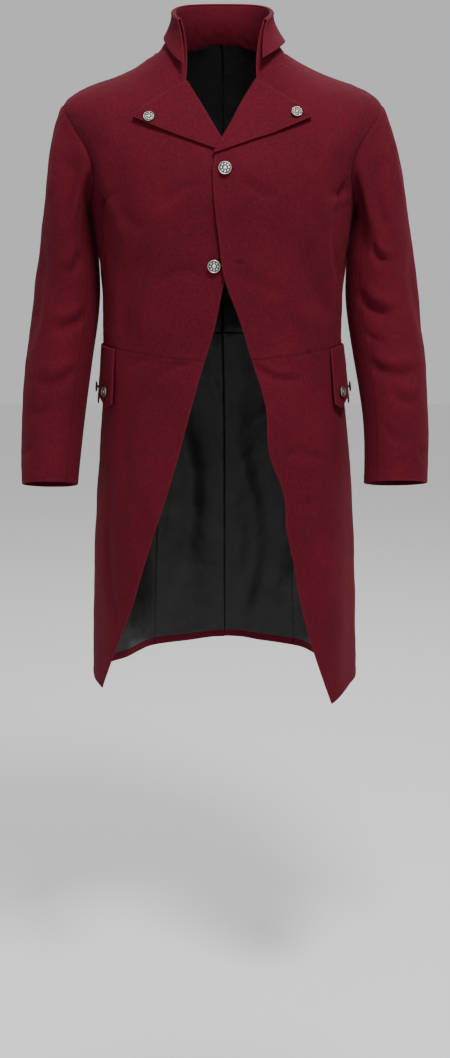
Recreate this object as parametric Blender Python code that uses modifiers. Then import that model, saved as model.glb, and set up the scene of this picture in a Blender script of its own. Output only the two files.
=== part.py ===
"""A Regency cutaway tailcoat in its worn shape, cut and sewn piece by piece as walls of cloth.

Units are metres, +Z is up and the coat faces -Y, so its own left is +X.
The origin is the middle of the neck, level with the points where the collar meets the shoulders.
A place on the body of the coat is an angle round it, 0 at the coat's left side, -90 degrees at
the front and 90 at the back, and a level, which is a row of the table of rings below.
"""

import math

import bmesh
import bpy
import numpy as np
from mathutils import Vector

# Cloth and seams
CLOTH = 0.0018
LINING = 0.0010
SEAM_GAP = 0.0003
LAYER_GAP = 0.0008
LAYER = CLOTH + LAYER_GAP

# Rings of the body, from the hem up to the neck
HEM, WAIST, ARMPIT, SHOULDER, NECK = 0, 4, 6, 8, 10
RING_COLUMNS = ("side_z", "front_z", "back_z", "half_width", "front_depth", "back_depth",
                "squareness", "sway")
RINGS = (
    (-0.961, -1.020, -0.950, 0.206, 0.150, 0.222, 0.020, 0.003),
    (-0.800, -0.800, -0.800, 0.203, 0.150, 0.203, 0.020, 0.003),
    (-0.640, -0.640, -0.640, 0.196, 0.147, 0.172, 0.025, 0.003),
    (-0.530, -0.535, -0.525, 0.187, 0.143, 0.146, 0.030, 0.002),
    (-0.436, -0.453, -0.425, 0.183, 0.136, 0.119, 0.040, 0.000),
    (-0.330, -0.340, -0.322, 0.186, 0.143, 0.124, 0.050, 0.000),
    (-0.236, -0.246, -0.235, 0.200, 0.150, 0.135, 0.060, 0.000),
    (-0.150, -0.180, -0.150, 0.221, 0.149, 0.138, 0.060, 0.000),
    (-0.078, -0.120, -0.075, 0.238, 0.132, 0.126, 0.050, 0.000),
    (-0.037, -0.091, -0.022, 0.160, 0.116, 0.106, 0.030, 0.000),
    (-0.002, -0.078, 0.016, 0.094, 0.105, 0.082, 0.020, -0.002),
)

# Soft folds in the skirts: angle and half width in degrees, depth at the hem, and the level they start at
FOLD_COLUMNS = ("angle", "half_width", "depth", "top")
FOLDS = (
    (-44.0, 13.0, 0.005, 3.0),
    (-18.0, 10.0, -0.004, 3.0),
    (14.0, 13.0, 0.005, 3.0),
    (38.0, 8.0, -0.007, 3.6),
    (54.0, 7.0, 0.008, 3.8),
    (74.0, 7.0, -0.006, 3.7),
    (106.0, 7.0, -0.006, 3.7),
    (124.0, 7.0, 0.008, 3.8),
    (143.0, 8.0, -0.007, 3.5),
    (168.0, 12.0, 0.005, 3.0),
    (202.0, 12.0, -0.003, 3.0),
)

# Where the body is cut: angles in degrees
FRONT_SEAM = 25.0
BACK_SEAM_WAIST = 60.0
BACK_SEAM_HEM = 57.0
ARMHOLE_ANGLE = 33.0
ARMHOLE_CORNER = 48.0
GORGE_ANGLE = -57.0

# Front edges, as the coat is seen from the front: height and distance to the coat's left
EDGE_COLUMNS = ("z", "x")
LEFT_EDGE = (
    (-0.154, -0.0147),
    (-0.217, -0.0125),
    (-0.284, -0.0045),
    (-0.330, 0.0020),
    (-0.379, 0.0194),
    (-0.418, 0.0324),
    (-0.450, 0.0418),
    (-0.524, 0.0640),
    (-0.594, 0.0700),
    (-0.653, 0.0915),
    (-0.700, 0.0950),
    (-0.746, 0.1040),
    (-0.812, 0.1175),
    (-0.881, 0.1343),
    (-0.986, 0.1700),
)
RIGHT_EDGE = (
    (-0.157, 0.0180),
    (-0.220, 0.0240),
    (-0.290, 0.0170),
    (-0.341, 0.0022),
    (-0.401, -0.0105),
    (-0.452, -0.0256),
    (-0.539, -0.0506),
    (-0.640, -0.0787),
    (-0.734, -0.1091),
    (-0.833, -0.1387),
    (-0.916, -0.1710),
    (-0.981, -0.1915),
)

# Lapels, seen from the front, on the coat's left; the right one is its mirror image
BREAK_POINT = (-0.0139, -0.154)
LAPEL_TIP_TOP = (0.1275, -0.0990)
LAPEL_TIP_FOOT = (0.1285, -0.1035)
LAPEL_TOP_BOW = 0.004
LAPEL_FOOT_BOW = 0.001
LAPEL_GAP = 0.0012
LAPEL_BULGE = 0.0016
LAPEL_EDGE_RISE = 0.0012

# The left front lies over the right one near the middle, and over its lapel higher up
LIFT_INNER_X = 0.035
LIFT_OUTER_X = 0.080
LIFT_STEP_Z = -0.205
LIFT_STEP_HEIGHT = 0.030

# The vent in the tails, where the left tail lies over the right one
VENT_LAP = 0.028
VENT_TOP_LEVEL = 3.66
VENT_OPEN_LEVEL = 3.34

# Collar: the fold at its top and the edge of its fall
STAND_TOP_ANGLE = -32.0
FOLD_RING = {"side_z": 0.056, "front_z": 0.022, "back_z": 0.072, "half_width": 0.072,
             "front_depth": 0.105, "back_depth": 0.070, "squareness": 0, "sway": 0, "evenness": 1}
FALL_FRONT_ANGLE = -51.0
FALL_LEFT = {"side_z": 0.0145, "front_z": -0.027, "back_z": 0.006, "half_width": 0.0940,
             "front_depth": 0.124, "back_depth": 0.104, "squareness": 0, "sway": 0, "evenness": 1}
FALL_RIGHT = {"side_z": 0.0190, "front_z": -0.050, "back_z": 0.006, "half_width": 0.0875,
              "front_depth": 0.120, "back_depth": 0.104, "squareness": 0, "sway": 0, "evenness": 1}
FOLD_RADIUS = 0.0024
STAND_BOW = 0.006
FALL_BOW = 0.35

# Sleeves: height, outer and inner distance from the middle, middle in Y, half depth in Y
SLEEVE_COLUMNS = ("z", "outer_x", "inner_x", "middle_y", "half_depth")
LEFT_SLEEVE = (
    (-0.262, 0.2845, 0.1900, 0.004, 0.083),
    (-0.360, 0.2995, 0.1880, 0.006, 0.075),
    (-0.450, 0.3095, 0.1995, -0.007, 0.068),
    (-0.550, 0.3140, 0.2145, -0.035, 0.060),
    (-0.645, 0.3115, 0.2155, -0.063, 0.054),
)
RIGHT_SLEEVE = (
    (-0.262, 0.2740, 0.1900, 0.004, 0.083),
    (-0.360, 0.2880, 0.1870, 0.006, 0.075),
    (-0.450, 0.2995, 0.1975, -0.007, 0.068),
    (-0.550, 0.3070, 0.2105, -0.035, 0.060),
    (-0.647, 0.3050, 0.2205, -0.063, 0.052),
)
BICEP_TILT = 0.010
CUFF_TILT = 0.012
SLEEVE_CLEARANCE = 0.0025
SLEEVE_HEAD_REACH = 0.036
SLEEVE_UNDERARM_REACH = 0.006
SLEEVE_ARM_REACH = 0.075
SLEEVE_TOP_TURN = 8.0
SLEEVE_UNDER_TURN = 95.0

# Pocket flaps below the waist seam, each with three points and three buttons
FLAP_FRONT_ANGLE = -32.0
FLAP_BACK_ANGLE = 33.0
FLAP_DROP = 0.080
FLAP_POINT = 0.013
FLAP_POINT_SPACING = 0.395
FLAP_TOP_GAP = 0.0012
FLAP_STAND_OFF = 0.0050
FLAP_CLOTH = 0.0022
FLAP_BUTTON_DROP = 0.068

# Buttons
FRONT_BUTTON = 0.0195
SMALL_BUTTON = 0.0160
BUTTON_SIDES = 12
FRONT_BUTTON_PLACES = {"button_front_top": (0.0035, -0.175), "button_front_low": (-0.0122, -0.314)}
LAPEL_BUTTON_PLACES = {1: (0.1065, -0.0975), -1: (-0.1055, -0.1035)}

# How finely each piece is divided
SEAM_ROWS = 6
ARMHOLE_ROWS = 7
UNDERARM_STEPS = 4
SHOULDER_ROWS = 5
SKIRT_ROWS = 12
FRONT_EDGE_ROWS = 10
ROLL_ROWS = SEAM_ROWS + ARMHOLE_ROWS + SHOULDER_ROWS - FRONT_EDGE_ROWS
FRONT_COLUMNS = 11
BACK_COLUMNS = 7
SKIRT_COLUMNS = 13
SLEEVE_HEAD_ROWS = 5
SLEEVE_ARM_ROWS = 8
LAPEL_COLUMNS = 8
CURL_STEPS = 4
STAND_ROWS = 3
FALL_ROWS = 5
FLAP_COLUMNS = 20
FLAP_ROWS = 4

WOOL_COLOUR = (0.115, 0.008, 0.018, 1.0)
LINING_COLOUR = (0.008, 0.008, 0.009, 1.0)
METAL_COLOUR = (0.42, 0.41, 0.38, 1.0)


def spline(knots, values):
    """The natural cubic spline through the values, as a function of a number or an array."""
    knots = np.asarray(knots, float)
    values = np.asarray(values, float)
    count = len(knots)
    step = np.diff(knots)
    matrix = np.eye(count)
    right = np.zeros(count)
    for i in range(1, count - 1):
        matrix[i, i - 1:i + 2] = step[i - 1], 2 * (step[i - 1] + step[i]), step[i]
        slopes = np.diff(values[i - 1:i + 2]) / step[i - 1:i + 1]
        right[i] = 6 * (slopes[1] - slopes[0])
    bend = np.linalg.solve(matrix, right)

    def value(at):
        i = np.clip(np.searchsorted(knots, at) - 1, 0, count - 2)
        h = step[i]
        a = (knots[i + 1] - at) / h
        b = 1 - a
        curve = ((a**3 - a) * bend[i] + (b**3 - b) * bend[i + 1]) * h**2 / 6
        return a * values[i] + b * values[i + 1] + curve

    return value


def columns(names, rows):
    """The table's columns by name."""
    return {name: np.array([row[i] for row in rows]) for i, name in enumerate(names)}


def smooth(x):
    """0 below 0, 1 above 1, and an easy slope between."""
    x = np.clip(x, 0, 1)
    return x * x * (3 - 2 * x)


def unit(vectors):
    return vectors / np.linalg.norm(vectors, axis=-1, keepdims=True)


def ring_point(angle, ring):
    """A point of a closed ring round the neck or body. The ring's values may vary with the point.

    Evenness is the share of its slope from front to back that is even, not kept for the two ends.
    """
    c, s = np.cos(angle), np.sin(angle)
    swell = 1 + ring["squareness"] * np.sin(2 * angle) ** 2
    middle = (ring["front_depth"] + ring["back_depth"]) / 2
    shift = (ring["back_depth"] - ring["front_depth"]) / 2
    level = (ring["front_z"] + ring["back_z"]) / 2 - ring["side_z"]
    slope = (ring["back_z"] - ring["front_z"]) / 2
    x = ring["half_width"] * c * swell + ring["sway"]
    y = (middle * s + shift * s**2) * swell
    even = ring.get("evenness", 0)
    z = ring["side_z"] + level * s**2 + slope * (s * even + s**3 * (1 - even))
    return np.stack(np.broadcast_arrays(x, y, z), axis=-1)


BODY = {name: spline(range(len(RINGS)), values) for name, values in columns(RING_COLUMNS, RINGS).items()}
BODY_FOLDS = [dict(zip(FOLD_COLUMNS, row)) for row in FOLDS]


def fold_depth(angle, level):
    """How far the soft folds move the skirt outwards."""
    turned = (np.degrees(angle) + 90) % 360 - 90
    total = np.zeros(np.broadcast(angle, level).shape)
    for fold in BODY_FOLDS:
        fall = smooth((fold["top"] - level) / fold["top"])
        aside = (turned - fold["angle"]) / fold["half_width"]
        total = total + fold["depth"] * fall * np.exp(-(aside**2))
    return total


def body(angle, level):
    """A point of the coat's outer surface."""
    point = ring_point(angle, {name: value(level) for name, value in BODY.items()})
    flat = point * (1, 1, 0)
    return point + unit(flat) * fold_depth(angle, level)[..., None]


def normals_of(surface, u, v, tiny=1e-4):
    """Unit normals of surface(u, v), from small steps each way."""
    along = surface(u + tiny, v) - surface(u - tiny, v)
    up = surface(u, v + tiny) - surface(u, v - tiny)
    return unit(np.cross(along, up))


def on_front(x, z):
    """The angle and level of the place that is seen at x, z from the front."""
    x, z = np.broadcast_arrays(np.asarray(x, float), np.asarray(z, float))
    angle = -np.arccos(np.clip(x / 0.2, -0.97, 0.97))
    front_z = columns(RING_COLUMNS, RINGS)["front_z"]
    level = np.interp(z, front_z, np.arange(len(front_z)))
    tiny = 1e-5
    for _ in range(30):
        here = body(angle, level)
        by_angle = (body(angle + tiny, level) - here) / tiny
        by_level = (body(angle, level + tiny) - here) / tiny
        miss_x, miss_z = x - here[..., 0], z - here[..., 2]
        size = by_angle[..., 0] * by_level[..., 2] - by_level[..., 0] * by_angle[..., 2]
        angle = angle + np.clip((miss_x * by_level[..., 2] - miss_z * by_level[..., 0]) / size, -0.2, 0.2)
        level = level + np.clip((miss_z * by_angle[..., 0] - miss_x * by_angle[..., 2]) / size, -0.5, 0.5)
    return angle, level


def level_at(angle, z):
    """The level of the body at that angle and height."""
    level = np.full(np.broadcast(angle, z).shape, float(WAIST))
    tiny = 1e-4
    for _ in range(20):
        here = body(angle, level)[..., 2]
        slope = (body(angle, level + tiny)[..., 2] - here) / tiny
        level = level + np.clip((z - here) / slope, -0.5, 0.5)
    return level


def lift(side, angle, level):
    """How far the left front stands out, to lie over the right front and the right lapel."""
    if side < 0:
        return np.zeros(np.broadcast(angle, level).shape)
    place = body(angle, level)
    x, y, z = place[..., 0], place[..., 1], place[..., 2]
    near = 1 - smooth((x - LIFT_INNER_X) / (LIFT_OUTER_X - LIFT_INNER_X))
    layers = 1 + smooth((z - LIFT_STEP_Z) / LIFT_STEP_HEIGHT)
    return np.where(y < 0, near * layers * LAYER, 0)


def vent_lift(side, angle, level):
    """How far the left tail stands out, to lie over the right tail."""
    if side < 0:
        return np.zeros(np.broadcast(angle, level).shape)
    near = smooth((angle - math.radians(70)) / math.radians(14))
    return near * LAYER * smooth((WAIST - level) / (WAIST - VENT_TOP_LEVEL))


def line(start, end, steps):
    """Evenly spaced (angle, level) pairs from start to end."""
    return np.linspace(start, end, steps + 1)


def mirrored(track, side):
    """The same places on the coat's right, for a track given on the left."""
    if side > 0:
        return track
    return np.stack([math.pi - track[:, 0], track[:, 1]], axis=1)


def armhole(turn):
    """The angle and level on the armhole: 0 at the underarm, 180 degrees at the top, front positive."""
    turn = np.asarray(turn, float)
    middle = (ARMPIT + SHOULDER) / 2
    reach = (SHOULDER - ARMPIT) / 2
    return np.stack([-math.radians(ARMHOLE_ANGLE) * np.sin(turn), middle - reach * np.cos(turn)], axis=-1)


CORNER = math.radians(ARMHOLE_CORNER)
ARMHOLE_TURNS = np.linspace(CORNER, math.pi, ARMHOLE_ROWS + 1)
UNDERARM_TURNS = np.linspace(-CORNER, CORNER, 2 * UNDERARM_STEPS + 1)
SHOULDER_SEAM = line((0, SHOULDER), (0, NECK), SHOULDER_ROWS)
FRONT_SIDE_SEAM = line((-math.radians(FRONT_SEAM), WAIST), armhole(CORNER), SEAM_ROWS)
BACK_SIDE_SEAM = line((math.radians(BACK_SEAM_WAIST), WAIST), armhole(-CORNER), SEAM_ROWS)
TAIL_SEAM = line((math.radians(BACK_SEAM_HEM), HEM), (math.radians(BACK_SEAM_WAIST), WAIST), SKIRT_ROWS)
EDGES = {1: columns(EDGE_COLUMNS, LEFT_EDGE), -1: columns(EDGE_COLUMNS, RIGHT_EDGE)}


def joined(*tracks):
    """Tracks end to end, each starting where the last one ends."""
    return np.concatenate([tracks[0]] + [track[1:] for track in tracks[1:]])


def same_turn(side):
    """What brings an angle at the front into the same turn as the mirrored seams of that side."""
    return 0 if side > 0 else 2 * math.pi


def edge_track(side, levels):
    """The front edge of that side at the given levels."""
    edge = EDGES[side]
    order = np.argsort(edge["z"])
    x_at = spline(edge["z"][order], edge["x"][order])
    z = np.linspace(edge["z"].min(), edge["z"].max(), 200)
    angle, level = on_front(x_at(z), z)
    return np.stack([np.interp(levels, level, angle + same_turn(side)), levels], axis=1)


def roll_ends(side):
    """The foot and the top of the line where the front ends under the lapel, seen from the front."""
    neck = mirrored(np.array([[math.radians(GORGE_ANGLE), NECK]]), side)
    corner = body(neck[:, 0], neck[:, 1])[0]
    foot = np.array(BREAK_POINT) + (FOLD_RADIUS + CLOTH / 2, 0)
    return foot, np.array([side * corner[0], corner[2]])


def roll_track(side):
    """Where the front panel ends under the lapel, from the break point up to the gorge."""
    places = np.linspace(*roll_ends(side), ROLL_ROWS + 1)
    angle, level = on_front(side * places[:, 0], places[:, 1])
    return np.stack([angle + same_turn(side), level], axis=1)


def ruled(first, last, steps):
    """Angles and levels on straight lines between two tracks with the same number of places."""
    share = np.linspace(0, 1, steps + 1)[None, :, None]
    grid = first[:, None] * (1 - share) + last[:, None] * share
    return grid[..., 0], grid[..., 1]


def inset_edges(grid, gaps):
    """Moves the grid's four edges inwards: first row, last row, first column, last column."""
    first_row, last_row, first_column, last_column = gaps
    moved = grid.copy()
    moved[0] += unit(grid[1] - grid[0]) * first_row
    moved[-1] += unit(grid[-2] - grid[-1]) * last_row
    moved[:, 0] += unit(grid[:, 1] - grid[:, 0]) * first_column
    moved[:, -1] += unit(grid[:, -2] - grid[:, -1]) * last_column
    return moved


def material(name, colour, roughness, metallic):
    made = bpy.data.materials.new(name)
    made.use_nodes = True
    shader = made.node_tree.nodes["Principled BSDF"]
    shader.inputs["Base Color"].default_value = colour
    shader.inputs["Roughness"].default_value = roughness
    shader.inputs["Metallic"].default_value = metallic
    return made


def cloth_wall(name, outer, inner, finish):
    """A closed wall of cloth between two grids of points of the same size."""
    rows, cols = outer.shape[:2]
    top = np.arange(rows * cols).reshape(rows, cols)
    under = top + rows * cols
    faces = []
    for i in range(rows - 1):
        for j in range(cols - 1):
            faces.append((top[i, j], top[i, j + 1], top[i + 1, j + 1], top[i + 1, j]))
            faces.append((under[i, j], under[i + 1, j], under[i + 1, j + 1], under[i, j + 1]))
    rim = [*top[0, :-1], *top[:-1, -1], *top[-1, :0:-1], *top[:0:-1, 0]]
    for here, following in zip(rim, rim[1:] + rim[:1]):
        faces.append((here, here + rows * cols, following + rows * cols, following))
    mesh = bpy.data.meshes.new(name)
    mesh.from_pydata(np.concatenate([outer.reshape(-1, 3), inner.reshape(-1, 3)]), [], faces)
    shape = bmesh.new()
    shape.from_mesh(mesh)
    bmesh.ops.triangulate(shape, faces=shape.faces, quad_method="SHORT_EDGE")
    bmesh.ops.recalc_face_normals(shape, faces=shape.faces)
    shape.to_mesh(mesh)
    shape.free()
    mesh.shade_smooth()
    mesh.set_sharp_from_angle(angle=math.radians(40))
    return placed(name, mesh, finish)


def placed(name, mesh, finish):
    made = bpy.data.objects.new(name, mesh)
    mesh.materials.clear()
    mesh.materials.append(finish)
    COAT.objects.link(made)
    return made


def body_panel(name, angle, level, height, finish, gaps=(SEAM_GAP / 2,) * 4, cloth=CLOTH):
    """A wall on the body's surface, its outer face moved out by height."""
    skin = body(angle, level)
    normal = normals_of(body, angle, level)
    outer = inset_edges(skin + normal * np.asarray(height)[..., None], gaps)
    inner = inset_edges(skin + normal * (np.asarray(height) - cloth)[..., None], gaps)
    return cloth_wall(name, outer, inner, finish)


def side_name(side):
    return "left" if side > 0 else "right"


def make_front(side, finish):
    """The front from the waist seam to the shoulder, cut away along the roll line of the lapel."""
    roll = roll_track(side)
    edge = edge_track(side, np.linspace(WAIST, roll[0, 1], FRONT_EDGE_ROWS + 1))
    edge[-1] = roll[0]
    outline = mirrored(joined(FRONT_SIDE_SEAM, armhole(ARMHOLE_TURNS), SHOULDER_SEAM), side)
    angle, level = ruled(joined(edge, roll), outline, FRONT_COLUMNS)
    gaps = (SEAM_GAP / 2, 0, SEAM_GAP, SEAM_GAP / 2)
    return body_panel(f"front_{side_name(side)}", angle, level, lift(side, angle, level), finish, gaps)


def make_side(side, finish):
    """The side piece under the arm, between the front and the back."""
    top = armhole(UNDERARM_TURNS[::-1])
    foot = np.linspace(FRONT_SIDE_SEAM[0], BACK_SIDE_SEAM[0], 2 * UNDERARM_STEPS + 1)
    angle, level = ruled(mirrored(foot, side), mirrored(top, side), SEAM_ROWS)
    return body_panel(f"side_{side_name(side)}", angle, level, np.zeros(angle.shape), finish)


def centre_back(side):
    """The centre back edge, which laps over the other tail below the vent's top on the left."""
    levels = np.concatenate([TAIL_SEAM[:, 1], BACK_SIDE_SEAM[1:, 1]])
    upper = np.linspace(BACK_SIDE_SEAM[-1, 1], NECK, ARMHOLE_ROWS + SHOULDER_ROWS + 1)
    levels = np.concatenate([levels, upper[1:]])
    angle = np.full(levels.shape, math.pi / 2)
    if side > 0:
        open_share = smooth((VENT_TOP_LEVEL - levels) / (VENT_TOP_LEVEL - VENT_OPEN_LEVEL))
        angle = angle + open_share * VENT_LAP / BODY["half_width"](levels)
    return np.stack([angle, levels], axis=1)


def back_outline(side):
    track = joined(TAIL_SEAM, BACK_SIDE_SEAM, armhole(-ARMHOLE_TURNS), SHOULDER_SEAM)
    return mirrored(track, side)


def make_back(side, finish):
    """The back, cut in one from the hem of the tail to the neck."""
    angle, level = ruled(back_outline(side), centre_back(side), BACK_COLUMNS)
    height = vent_lift(side, angle, level)
    return body_panel(f"back_{side_name(side)}", angle, level, height, finish,
                      (0, 0, SEAM_GAP / 2, SEAM_GAP / 2))


def make_skirt(side, finish):
    """The skirt, hung from the waist seam and swept back to a point at the hem."""
    levels = TAIL_SEAM[:, 1]
    angle, level = ruled(edge_track(side, levels), mirrored(TAIL_SEAM, side), SKIRT_COLUMNS)
    return body_panel(f"skirt_{side_name(side)}", angle, level, lift(side, angle, level), finish,
                      (0, SEAM_GAP / 2, 0, SEAM_GAP / 2))


def make_lining(side, finish):
    """The lining of the skirt and of the back, inside the cloth and short of its edges."""
    levels = TAIL_SEAM[:, 1]
    seam_track = mirrored(TAIL_SEAM, side)
    angle, level = ruled(edge_track(side, levels), seam_track, SKIRT_COLUMNS)
    depth = lift(side, angle, level) - CLOTH - LAYER_GAP
    hem, waist, seam, front_edge = 0.012, 0.004, SEAM_GAP / 2, 0.014
    body_panel(f"lining_skirt_{side_name(side)}", angle, level, depth, finish,
               (hem, waist, front_edge, seam), LINING)
    middle = np.stack([np.full(len(levels), math.pi / 2), levels], axis=1)
    angle, level = ruled(seam_track, middle, BACK_COLUMNS)
    depth = vent_lift(side, angle, level) - CLOTH - LAYER_GAP
    body_panel(f"lining_back_{side_name(side)}", angle, level, depth, finish,
               (hem, waist, seam, seam), LINING)


def bowed(start, end, bow, share):
    """Points on a shallow curve from start to end, bowed to its left."""
    start, end = np.array(start), np.array(end)
    across = np.array([start[1] - end[1], end[0] - start[0]])
    across = across / np.linalg.norm(across)
    share = share[:, None]
    return start + (end - start) * share + across * bow * 4 * share * (1 - share)


def lapel_places(side):
    """The lapel seen from the front: rows from its top edge to its foot, columns out from the roll."""
    out = np.linspace(0, 1, LAPEL_COLUMNS + 1)
    roll_foot, roll_top = roll_ends(side)
    top = bowed(roll_top, LAPEL_TIP_TOP, LAPEL_TOP_BOW, out)
    foot = bowed(roll_foot, LAPEL_TIP_FOOT, -LAPEL_FOOT_BOW, out)
    down = np.linspace(0, 1, ROLL_ROWS + 1)[:, None, None]
    places = top[None] * (1 - down) + foot[None] * down
    return side * places[..., 0], places[..., 1]


def lapel_rise(shape):
    """How far the lapel's inner face stands above the front: rolled near the fold, flat at its foot."""
    rows, cols = shape
    down = np.linspace(0, 1, rows)[:, None]
    out = np.linspace(0, 1, cols)[None, :]
    roll = LAPEL_BULGE * np.exp(-((out / 0.35) ** 2)) * (1 - smooth((down - 0.3) / 0.4))
    edge = LAPEL_EDGE_RISE * smooth((out - 0.5) / 0.5)
    return LAPEL_GAP + roll + edge


def make_lapel(side, finish):
    """The lapel: a half-round fold at the front's cut edge, then the cloth lying on the front."""
    x, z = lapel_places(side)
    angle, level = on_front(x, z)
    skin = body(angle, level)
    normal = normals_of(body, angle, level)
    under = lift(side, angle, level)
    rise = lapel_rise(x.shape)
    flat_inner = skin + normal * (under + rise)[..., None]
    flat_outer = flat_inner + normal * CLOTH
    edge, up = skin[:, 0], normal[:, 0]
    along = unit(np.gradient(edge, axis=0))
    away = unit(np.cross(along, up)) * side
    radius = (rise[:, 0] + CLOTH) / 2
    centre = edge + up * (under[:, 0] - CLOTH / 2 + radius)[:, None]
    turns = np.linspace(0, math.pi, CURL_STEPS + 1)[:-1]
    spoke = away[:, None] * np.sin(turns)[None, :, None] - up[:, None] * np.cos(turns)[None, :, None]
    curl_outer = centre[:, None] + spoke * (radius + CLOTH / 2)[:, None, None]
    curl_inner = centre[:, None] + spoke * (radius - CLOTH / 2)[:, None, None]
    outer = np.concatenate([curl_outer, flat_outer], axis=1)
    inner = np.concatenate([curl_inner, flat_inner], axis=1)
    gaps = (0, 0, SEAM_GAP, 0)
    name = f"lapel_{side_name(side)}"
    return cloth_wall(name, inset_edges(outer, gaps), inset_edges(inner, gaps), finish)


def stand(share, rise):
    """The collar stand's outer face: share runs round from the left gorge, rise from seam to fold."""
    foot_angle = math.radians(GORGE_ANGLE) + share * (math.pi - 2 * math.radians(GORGE_ANGLE))
    top_angle = math.radians(STAND_TOP_ANGLE) + share * (math.pi - 2 * math.radians(STAND_TOP_ANGLE))
    foot = body(foot_angle, np.full(np.shape(foot_angle), float(NECK)))
    top = ring_point(top_angle, FOLD_RING)
    rise = np.asarray(rise)[..., None]
    bow = STAND_BOW * 4 * rise * (1 - rise)
    return foot * (1 - rise) + top * rise - unit(top * (1, 1, 0)) * bow


def collar_shares():
    """Steps round the collar, the same as those of the panels at the neck seam."""
    front = np.linspace(math.radians(GORGE_ANGLE), 0, FRONT_COLUMNS + 1)
    back = np.linspace(0, math.pi / 2, BACK_COLUMNS + 1)
    left = np.concatenate([front, back[1:]])
    angle = np.concatenate([left, math.pi - left[-2::-1]])
    return (angle - angle[0]) / (angle[-1] - angle[0])


def make_stand(finish):
    share, rise = np.meshgrid(collar_shares(), np.linspace(0, 1, STAND_ROWS + 1))
    outer = stand(share, rise)
    inner = outer - normals_of(stand, share, rise) * CLOTH
    gaps = (SEAM_GAP * 2, 0, 0, 0)
    return cloth_wall("collar_stand", inset_edges(outer, gaps), inset_edges(inner, gaps), finish)


def fall(share, drop):
    """The middle of the collar's fall: drop runs from the fold down to the free edge."""
    one = np.ones(np.shape(share))
    out = normals_of(stand, share, one)
    up = unit(stand(share, one) - stand(share, one - 1e-3))
    start = stand(share, one) - out * CLOTH / 2 + up * SEAM_GAP + out * 2 * FOLD_RADIUS
    edge_angle = math.radians(FALL_FRONT_ANGLE) + share * (math.pi - 2 * math.radians(FALL_FRONT_ANGLE))
    leftness = (1 + np.cos(edge_angle)) / 2
    edge = ring_point(edge_angle, {name: FALL_RIGHT[name] * (1 - leftness) + value * leftness
                                   for name, value in FALL_LEFT.items()})
    turn = start - up * np.linalg.norm(edge - start, axis=-1, keepdims=True) * FALL_BOW
    drop = np.asarray(drop)[..., None]
    return start * (1 - drop) ** 2 + turn * 2 * drop * (1 - drop) + edge * drop**2


def make_fall(finish):
    """The fall: the half-round fold along the stand's top, then the cloth turned down."""
    share = collar_shares()
    one = np.ones(share.shape)
    out = normals_of(stand, share, one)
    up = unit(stand(share, one) - stand(share, one - 1e-3))
    centre = stand(share, one) - out * CLOTH / 2 + up * SEAM_GAP + out * FOLD_RADIUS
    turns = np.linspace(0, math.pi, CURL_STEPS + 1)[:-1]
    spoke = up[None] * np.sin(turns)[:, None, None] - out[None] * np.cos(turns)[:, None, None]
    curl_outer = centre + spoke * (FOLD_RADIUS + CLOTH / 2)
    curl_inner = centre + spoke * (FOLD_RADIUS - CLOTH / 2)
    across, drop = np.meshgrid(share, np.linspace(0, 1, FALL_ROWS + 1))
    middle = fall(across, drop)
    normal = -normals_of(fall, across, drop)
    outer = np.concatenate([curl_outer, middle + normal * CLOTH / 2])
    inner = np.concatenate([curl_inner, middle - normal * CLOTH / 2])
    return cloth_wall("collar_fall", outer, inner, finish)


def sleeve_ring(side, turn, down):
    """A point of the arm of the sleeve: down runs from 0 at the biceps to 1 at the cuff."""
    rows = LEFT_SLEEVE if side > 0 else RIGHT_SLEEVE
    table = columns(SLEEVE_COLUMNS, rows)
    at = {name: spline(np.linspace(0, 1, len(rows)), values)(down) for name, values in table.items()}
    x = (at["outer_x"] + at["inner_x"]) / 2 - (at["outer_x"] - at["inner_x"]) / 2 * np.cos(turn)
    y = at["middle_y"] - at["half_depth"] * np.sin(turn)
    tilt = CUFF_TILT * np.sin(turn) * smooth(down) - BICEP_TILT * np.cos(turn) * (1 - smooth(down * 3))
    return np.stack(np.broadcast_arrays(side * x, y, at["z"] + tilt), axis=-1)


def beside_body(point, side, clearance):
    """Moves points outwards so that they keep clear of the side of the body."""
    x, y, z = side * point[..., 0], point[..., 1], point[..., 2]
    side_z = columns(RING_COLUMNS, RINGS)["side_z"]
    level = np.interp(z, side_z, np.arange(len(side_z)))
    depth = np.where(y < 0, BODY["front_depth"](level), BODY["back_depth"](level))
    angle = np.arcsin(np.clip(y / depth, -0.98, 0.98))
    if side < 0:
        angle = math.pi - angle
    nearest = side * body(angle, level)[..., 0] + clearance
    eased = (x + nearest + np.sqrt((x - nearest) ** 2 + SLEEVE_CLEARANCE**2)) / 2
    return np.stack([side * eased, y, z], axis=-1)


def sleeve_seat(side, turn):
    """The armhole seam, the body's normal there, and the way into the hole along the body."""
    place = armhole(turn)
    angle, level = place[..., 0], place[..., 1]
    if side < 0:
        angle = math.pi - angle
    normal = normals_of(body, angle, level)
    after, before = armhole(turn + 1e-3), armhole(turn - 1e-3)
    flip = (lambda a: math.pi - a) if side < 0 else (lambda a: a)
    along = unit(body(flip(after[..., 0]), after[..., 1]) - body(flip(before[..., 0]), before[..., 1]))
    inward = np.cross(along, normal) * side
    return body(angle, level), normal, inward


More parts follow.
